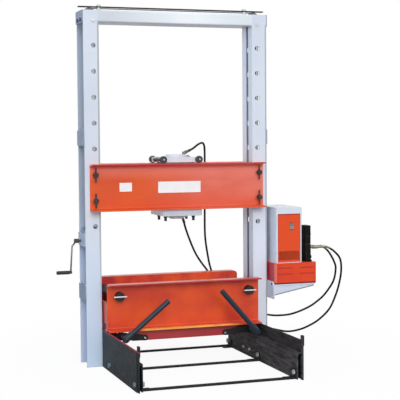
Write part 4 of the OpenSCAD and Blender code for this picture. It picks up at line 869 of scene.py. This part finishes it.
lay_rope("short_rope_strands", "short_lift_rope", joined(
    fall(-OUTER_X, -ROPE_Y, DRUM_Z, SHEAVE_Z),
    over_sheave(-SHEAVE_X, -ROPE_Y, 180, -180),
    fall(-INNER_X, -ROPE_Y, SHEAVE_Z, LUG_Z)))
lay_rope("long_rope_strands", "long_lift_rope", joined(
    fall(-OUTER_X, ROPE_Y, DRUM_Z, SHEAVE_Z),
    over_sheave(-SHEAVE_X, ROPE_Y, 180, -90),
    straight((-SHEAVE_X, ROPE_Y, SHEAVE_Z + PITCH_R), (SHEAVE_X, ROPE_Y, SHEAVE_Z + PITCH_R)),
    over_sheave(SHEAVE_X, ROPE_Y, 90, -90),
    fall(OUTER_X, ROPE_Y, SHEAVE_Z, LUG_Z)))


# ---------- bare plates on the head ----------

PLATE_CORNER = 0.004
RIVET_R, RIVET_IN = 0.0022, 0.008


def plate_material():
    """Pale enamelled sheet with nothing on it."""
    s = Shader("bare_plate")
    color = s.over((0.86, 0.86, 0.87), (0.80, 0.81, 0.83), s.ramp(s.noise(20, 3, 0.5), 0.4, 0.7))
    _, normal = s.edges(0.0006)
    return s.finish(color, 0.3, s.bump(s.noise(260, 2, 0.5), 0.00005, normal), coat=0.3)


PLATE = plate_material()


def head_plate(name, x0, x1, z0, z1, thick, riveted=False):
    """A thin plate with round corners on the front of the head's web."""
    bm = bmesh.new()
    r = PLATE_CORNER
    corners = ((x1 - r, z1 - r, 0), (x0 + r, z1 - r, 90), (x0 + r, z0 + r, 180), (x1 - r, z0 + r, 270))
    outline = []
    for cx, cz, start in corners:
        for k in range(7):
            a = math.radians(start + 15 * k)
            outline.append((cx + r * math.cos(a), cz + r * math.sin(a)))
    back = [bm.verts.new((x, HEAD_WEB, z)) for x, z in outline]
    front = [bm.verts.new((x, HEAD_WEB - thick, z)) for x, z in outline]
    bm.faces.new(back)
    bm.faces.new(list(reversed(front)))
    n = len(outline)
    for i in range(n):
        bm.faces.new((back[i], front[i], front[(i + 1) % n], back[(i + 1) % n]))
    if riveted:
        for x in (x0 + RIVET_IN, x1 - RIVET_IN):
            for z in (z0 + RIVET_IN, z1 - RIVET_IN):
                place = Matrix.Translation((x, HEAD_WEB - thick, z)) @ Matrix.Diagonal((1, 0.5, 1, 1))
                bmesh.ops.create_uvsphere(bm, u_segments=12, v_segments=8, radius=RIVET_R, matrix=place)
    bmesh_piece(name, bm, PLATE, "frame")


head_plate("large_bare_plate", x0=-0.142, x1=0.152, z0=1.126, z1=1.200, thick=0.0012, riveted=True)
head_plate("small_bare_plate", x0=-0.404, x1=-0.321, z0=1.140, z1=1.197, thick=0.0008)


# ---------- small fasteners ----------

HEX_SINK = 0.0005    # how far a head starts under its face


def bolts(name, places, way, flats, height, body, slot):
    """Hex heads with chamfered tops; places are on the face and way points out of it."""
    way = Vector(way)
    across = way.orthogonal().normalized()
    up = way.cross(across)
    corner = flats / math.sqrt(3)
    bm = bmesh.new()
    for place in places:
        rings = []
        for rise, r in ((-HEX_SINK, corner), (height * 0.82, corner), (height, corner * 0.84)):
            centre = Vector(place) + rise * way
            rings.append([bm.verts.new(rim(centre, across, up, r, math.pi * k / 3)) for k in range(6)])
        bm.faces.new(rings[0])
        bm.faces.new(rings[-1])
        for low, high in zip(rings, rings[1:]):
            for k in range(6):
                bm.faces.new((low[k], low[(k + 1) % 6], high[(k + 1) % 6], high[k]))
    bmesh_piece(name, bm, MATS[slot], body)


for name in ("left_trolley_wheels", "right_trolley_wheels"):
    low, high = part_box(name)
    axle_x, axle_z = (low[0] + high[0]) / 2, (low[2] + high[2]) / 2
    for end, y, way in (("front", low[1], -1), ("rear", high[1], 1)):
        bolts(f"{name}_{end}_cap", [(axle_x, y, axle_z)], (0, way, 0), flats=0.010, height=0.004,
              body=name, slot="bright_steel")

ARMS_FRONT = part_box("bed_lift_arms")[0][1]
ARM_BOLTS = [(x, ARMS_FRONT, 0.1955) for x in (-0.2785, 0.2735)]
bolts("bed_arm_bolts", ARM_BOLTS, (0, -1, 0), flats=0.013, height=0.005,
      body="bed", slot="bright_steel")

VALVE_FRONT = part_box("pump_valve")[0][1]
VALVE_SCREWS = [(x, VALVE_FRONT, z) for x in (0.8850, 0.9065) for z in (0.690, 0.752, 0.812)]
bolts("valve_screws", VALVE_SCREWS, (0, -1, 0), flats=0.006, height=0.003,
      body="frame", slot="black_steel")

BRACKET_BOLT = (0.632, -0.178, 0.496)
bolts("bracket_bolt", [BRACKET_BOLT], (-1, 0, 0), flats=0.013, height=0.005,
      body="frame", slot="black_steel")


# ---------- weld beads ----------

BEAD_R, BEAD_SIDES, BEAD_STEP = 0.003, 8, 0.0016


def bead(a, b):
    """The mesh of a hand-laid bead, whose width swells with each ripple and falls off at its ends."""
    a, b = Vector(a), Vector(b)
    count = int((b - a).length / BEAD_STEP)
    way = (b - a).normalized()
    across = way.cross(Vector((0.3, 0.9, 0.2))).normalized()
    up = way.cross(across)
    verts = []
    for i in range(count + 1):
        ripple = 0.86 + 0.14 * abs(math.sin(i * 0.75))
        end = min(1.0, 4.0 * min(i, count - i) / count + 0.25)
        for k in range(BEAD_SIDES):
            angle = 2 * math.pi * k / BEAD_SIDES
            verts.append(rim(a.lerp(b, i / count), across, up, BEAD_R * ripple * end, angle))
    return verts, skin(count + 1, BEAD_SIDES)


def weld(name, rgb, runs, body):
    """One piece with a bead along each run, from point to point."""
    s = Shader(name)
    color = s.over(rgb, tuple(c * 0.8 for c in rgb), s.ramp(s.noise(50, 3, 0.6), 0.4, 0.7))
    mat = s.finish(color, 0.4, s.bump(s.noise(300, 3, 0.6), 0.0004))
    verts, faces = [], []
    for a, b in runs:
        ring_verts, ring_faces = bead(a, b)
        faces += [tuple(len(verts) + i for i in face) for face in ring_faces]
        verts += ring_verts
    mesh_piece(name, verts, faces, mat, body)


# upright, along both faces of each spreader and along the end plates' inner faces
END_PLATE_T = SPREADER_T = 0.012
spread_low, spread_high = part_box("bed_spreaders")
_, (end_x, end_y, end_top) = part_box("bed_end_plates")
bed_runs = []
for sx in (-1, 1):
    edge = sx * spread_high[0]
    for sy in (-1, 1):
        y = sy * (end_y - 0.0015)
        for x in (edge, edge - sx * SPREADER_T):
            bed_runs.append(((x, y, spread_low[2]), (x, y, spread_high[2])))
        x = sx * (end_x - END_PLATE_T + 0.0005)
        bed_runs.append(((x, y, BED_LOW[2] + 0.015), (x, y, end_top)))
weld("bed_welds", (0.70, 0.085, 0.026), bed_runs, "bed")

# along the tie plates' level edges, at these heights on the right (1) and the left (-1)
TIE_LEVELS = {1: (1.440, 1.540), -1: (1.440, 1.540, 0.433, 0.533, 0.786, 0.872)}
TIE_WELD_Y = (0.050, 0.088)
frame_runs = []
for sx, levels in TIE_LEVELS.items():
    x = sx * (LEG_OUT + 0.0005)
    for z in levels:
        for sy in (-1, 1):
            frame_runs.append([(x, sy * y, z) for y in TIE_WELD_Y])
weld("frame_welds", (0.56, 0.62, 0.74), frame_runs, "frame")


# ---------- floor and light ----------

STUDIO_TINT = (0.90, 0.95, 1.0, 1)
# directions and how bright the studio is there
STUDIO = (((0, -1, 0), 0.66), ((-1, 0, 0), 0.28), ((0, 0, 1), 0.36), ((0, 1, 0), 0.10), ((1, 0, 0), 0.12))


def set_world():
    """White behind the object; a studio bright in front, dimmer at the left, dark at the right."""
    world = bpy.data.worlds.new("studio")
    scene.world = world
    world.use_nodes = True
    s = Nodes(world.node_tree)
    s.tree.nodes.clear()
    coord = s.new("ShaderNodeTexCoord")
    total = None
    for aim, level in STUDIO:
        dot = s.new("ShaderNodeVectorMath", operation="DOT_PRODUCT")
        dot.inputs[1].default_value = aim
        s.link(coord.outputs["Generated"], dot.inputs[0])
        lobe = s.ramp(dot.outputs["Value"], -0.15, 1.0, 0.0, level)
        total = lobe if total is None else s.math("ADD", total, lobe)
    soft = s.new("ShaderNodeBackground", Color=STUDIO_TINT)
    s.link(total, soft.inputs["Strength"])
    white = s.new("ShaderNodeBackground", Color=(1, 1, 1, 1))
    path = s.new("ShaderNodeLightPath")
    seen = path.outputs["Is Camera Ray"]
    for ray in ("Is Glossy Ray", "Is Transmission Ray"):
        seen = s.math("MAXIMUM", seen, path.outputs[ray])
    surface = s.new("ShaderNodeOutputWorld").inputs["Surface"]
    s.show(seen, soft.outputs[0], white.outputs[0], surface)


def set_floor():
    """Pale floor that fades to the background's white and keeps the object's soft shadow."""
    s = Shader("floor")
    seen = s.new("ShaderNodeLightPath").outputs["Is Camera Ray"]
    s.finish(s.ramp(seen, 0.0, 1.0, 0.50, 0.96), 0.9, None, spec=0.1)
    away = s.new("ShaderNodeVectorMath", operation="LENGTH")
    s.link(s.coord.outputs["Object"], away.inputs[0])
    glow = s.math("MULTIPLY", seen, s.ramp(away.outputs["Value"], 0.6, 2.6, 0.92, 1.0))
    white = s.new("ShaderNodeEmission")
    surface = s.tree.nodes["Material Output"].inputs["Surface"]
    s.show(glow, s.bsdf.outputs[0], white.outputs[0], surface)
    mesh = bpy.data.meshes.new("floor")
    mesh.from_pydata([(-12, -12, 0), (12, -12, 0), (12, 14, 0), (-12, 14, 0)], [], [(0, 1, 2, 3)])
    mesh.materials.append(s.mat)
    add_object("floor", mesh)


def sun(name, aim, strength, angle, color):
    data = bpy.data.lights.new(name, "SUN")
    data.energy = strength
    data.angle = math.radians(angle)
    data.color = color
    add_object(name, data).rotation_euler = Vector(aim).to_track_quat("-Z", "Y").to_euler()


set_world()
set_floor()
sun("key", aim=(0.10, 0.85, -0.36), strength=1.45, angle=30, color=(1.0, 0.985, 0.96))
sun("top", aim=(0.2, 0.3, -1.0), strength=0.5, angle=40, color=(0.95, 0.97, 1.0))
sun("side", aim=(0.95, 0.32, -0.12), strength=0.32, angle=12, color=(0.90, 0.95, 1.0))

scene.view_settings.view_transform = "Standard"
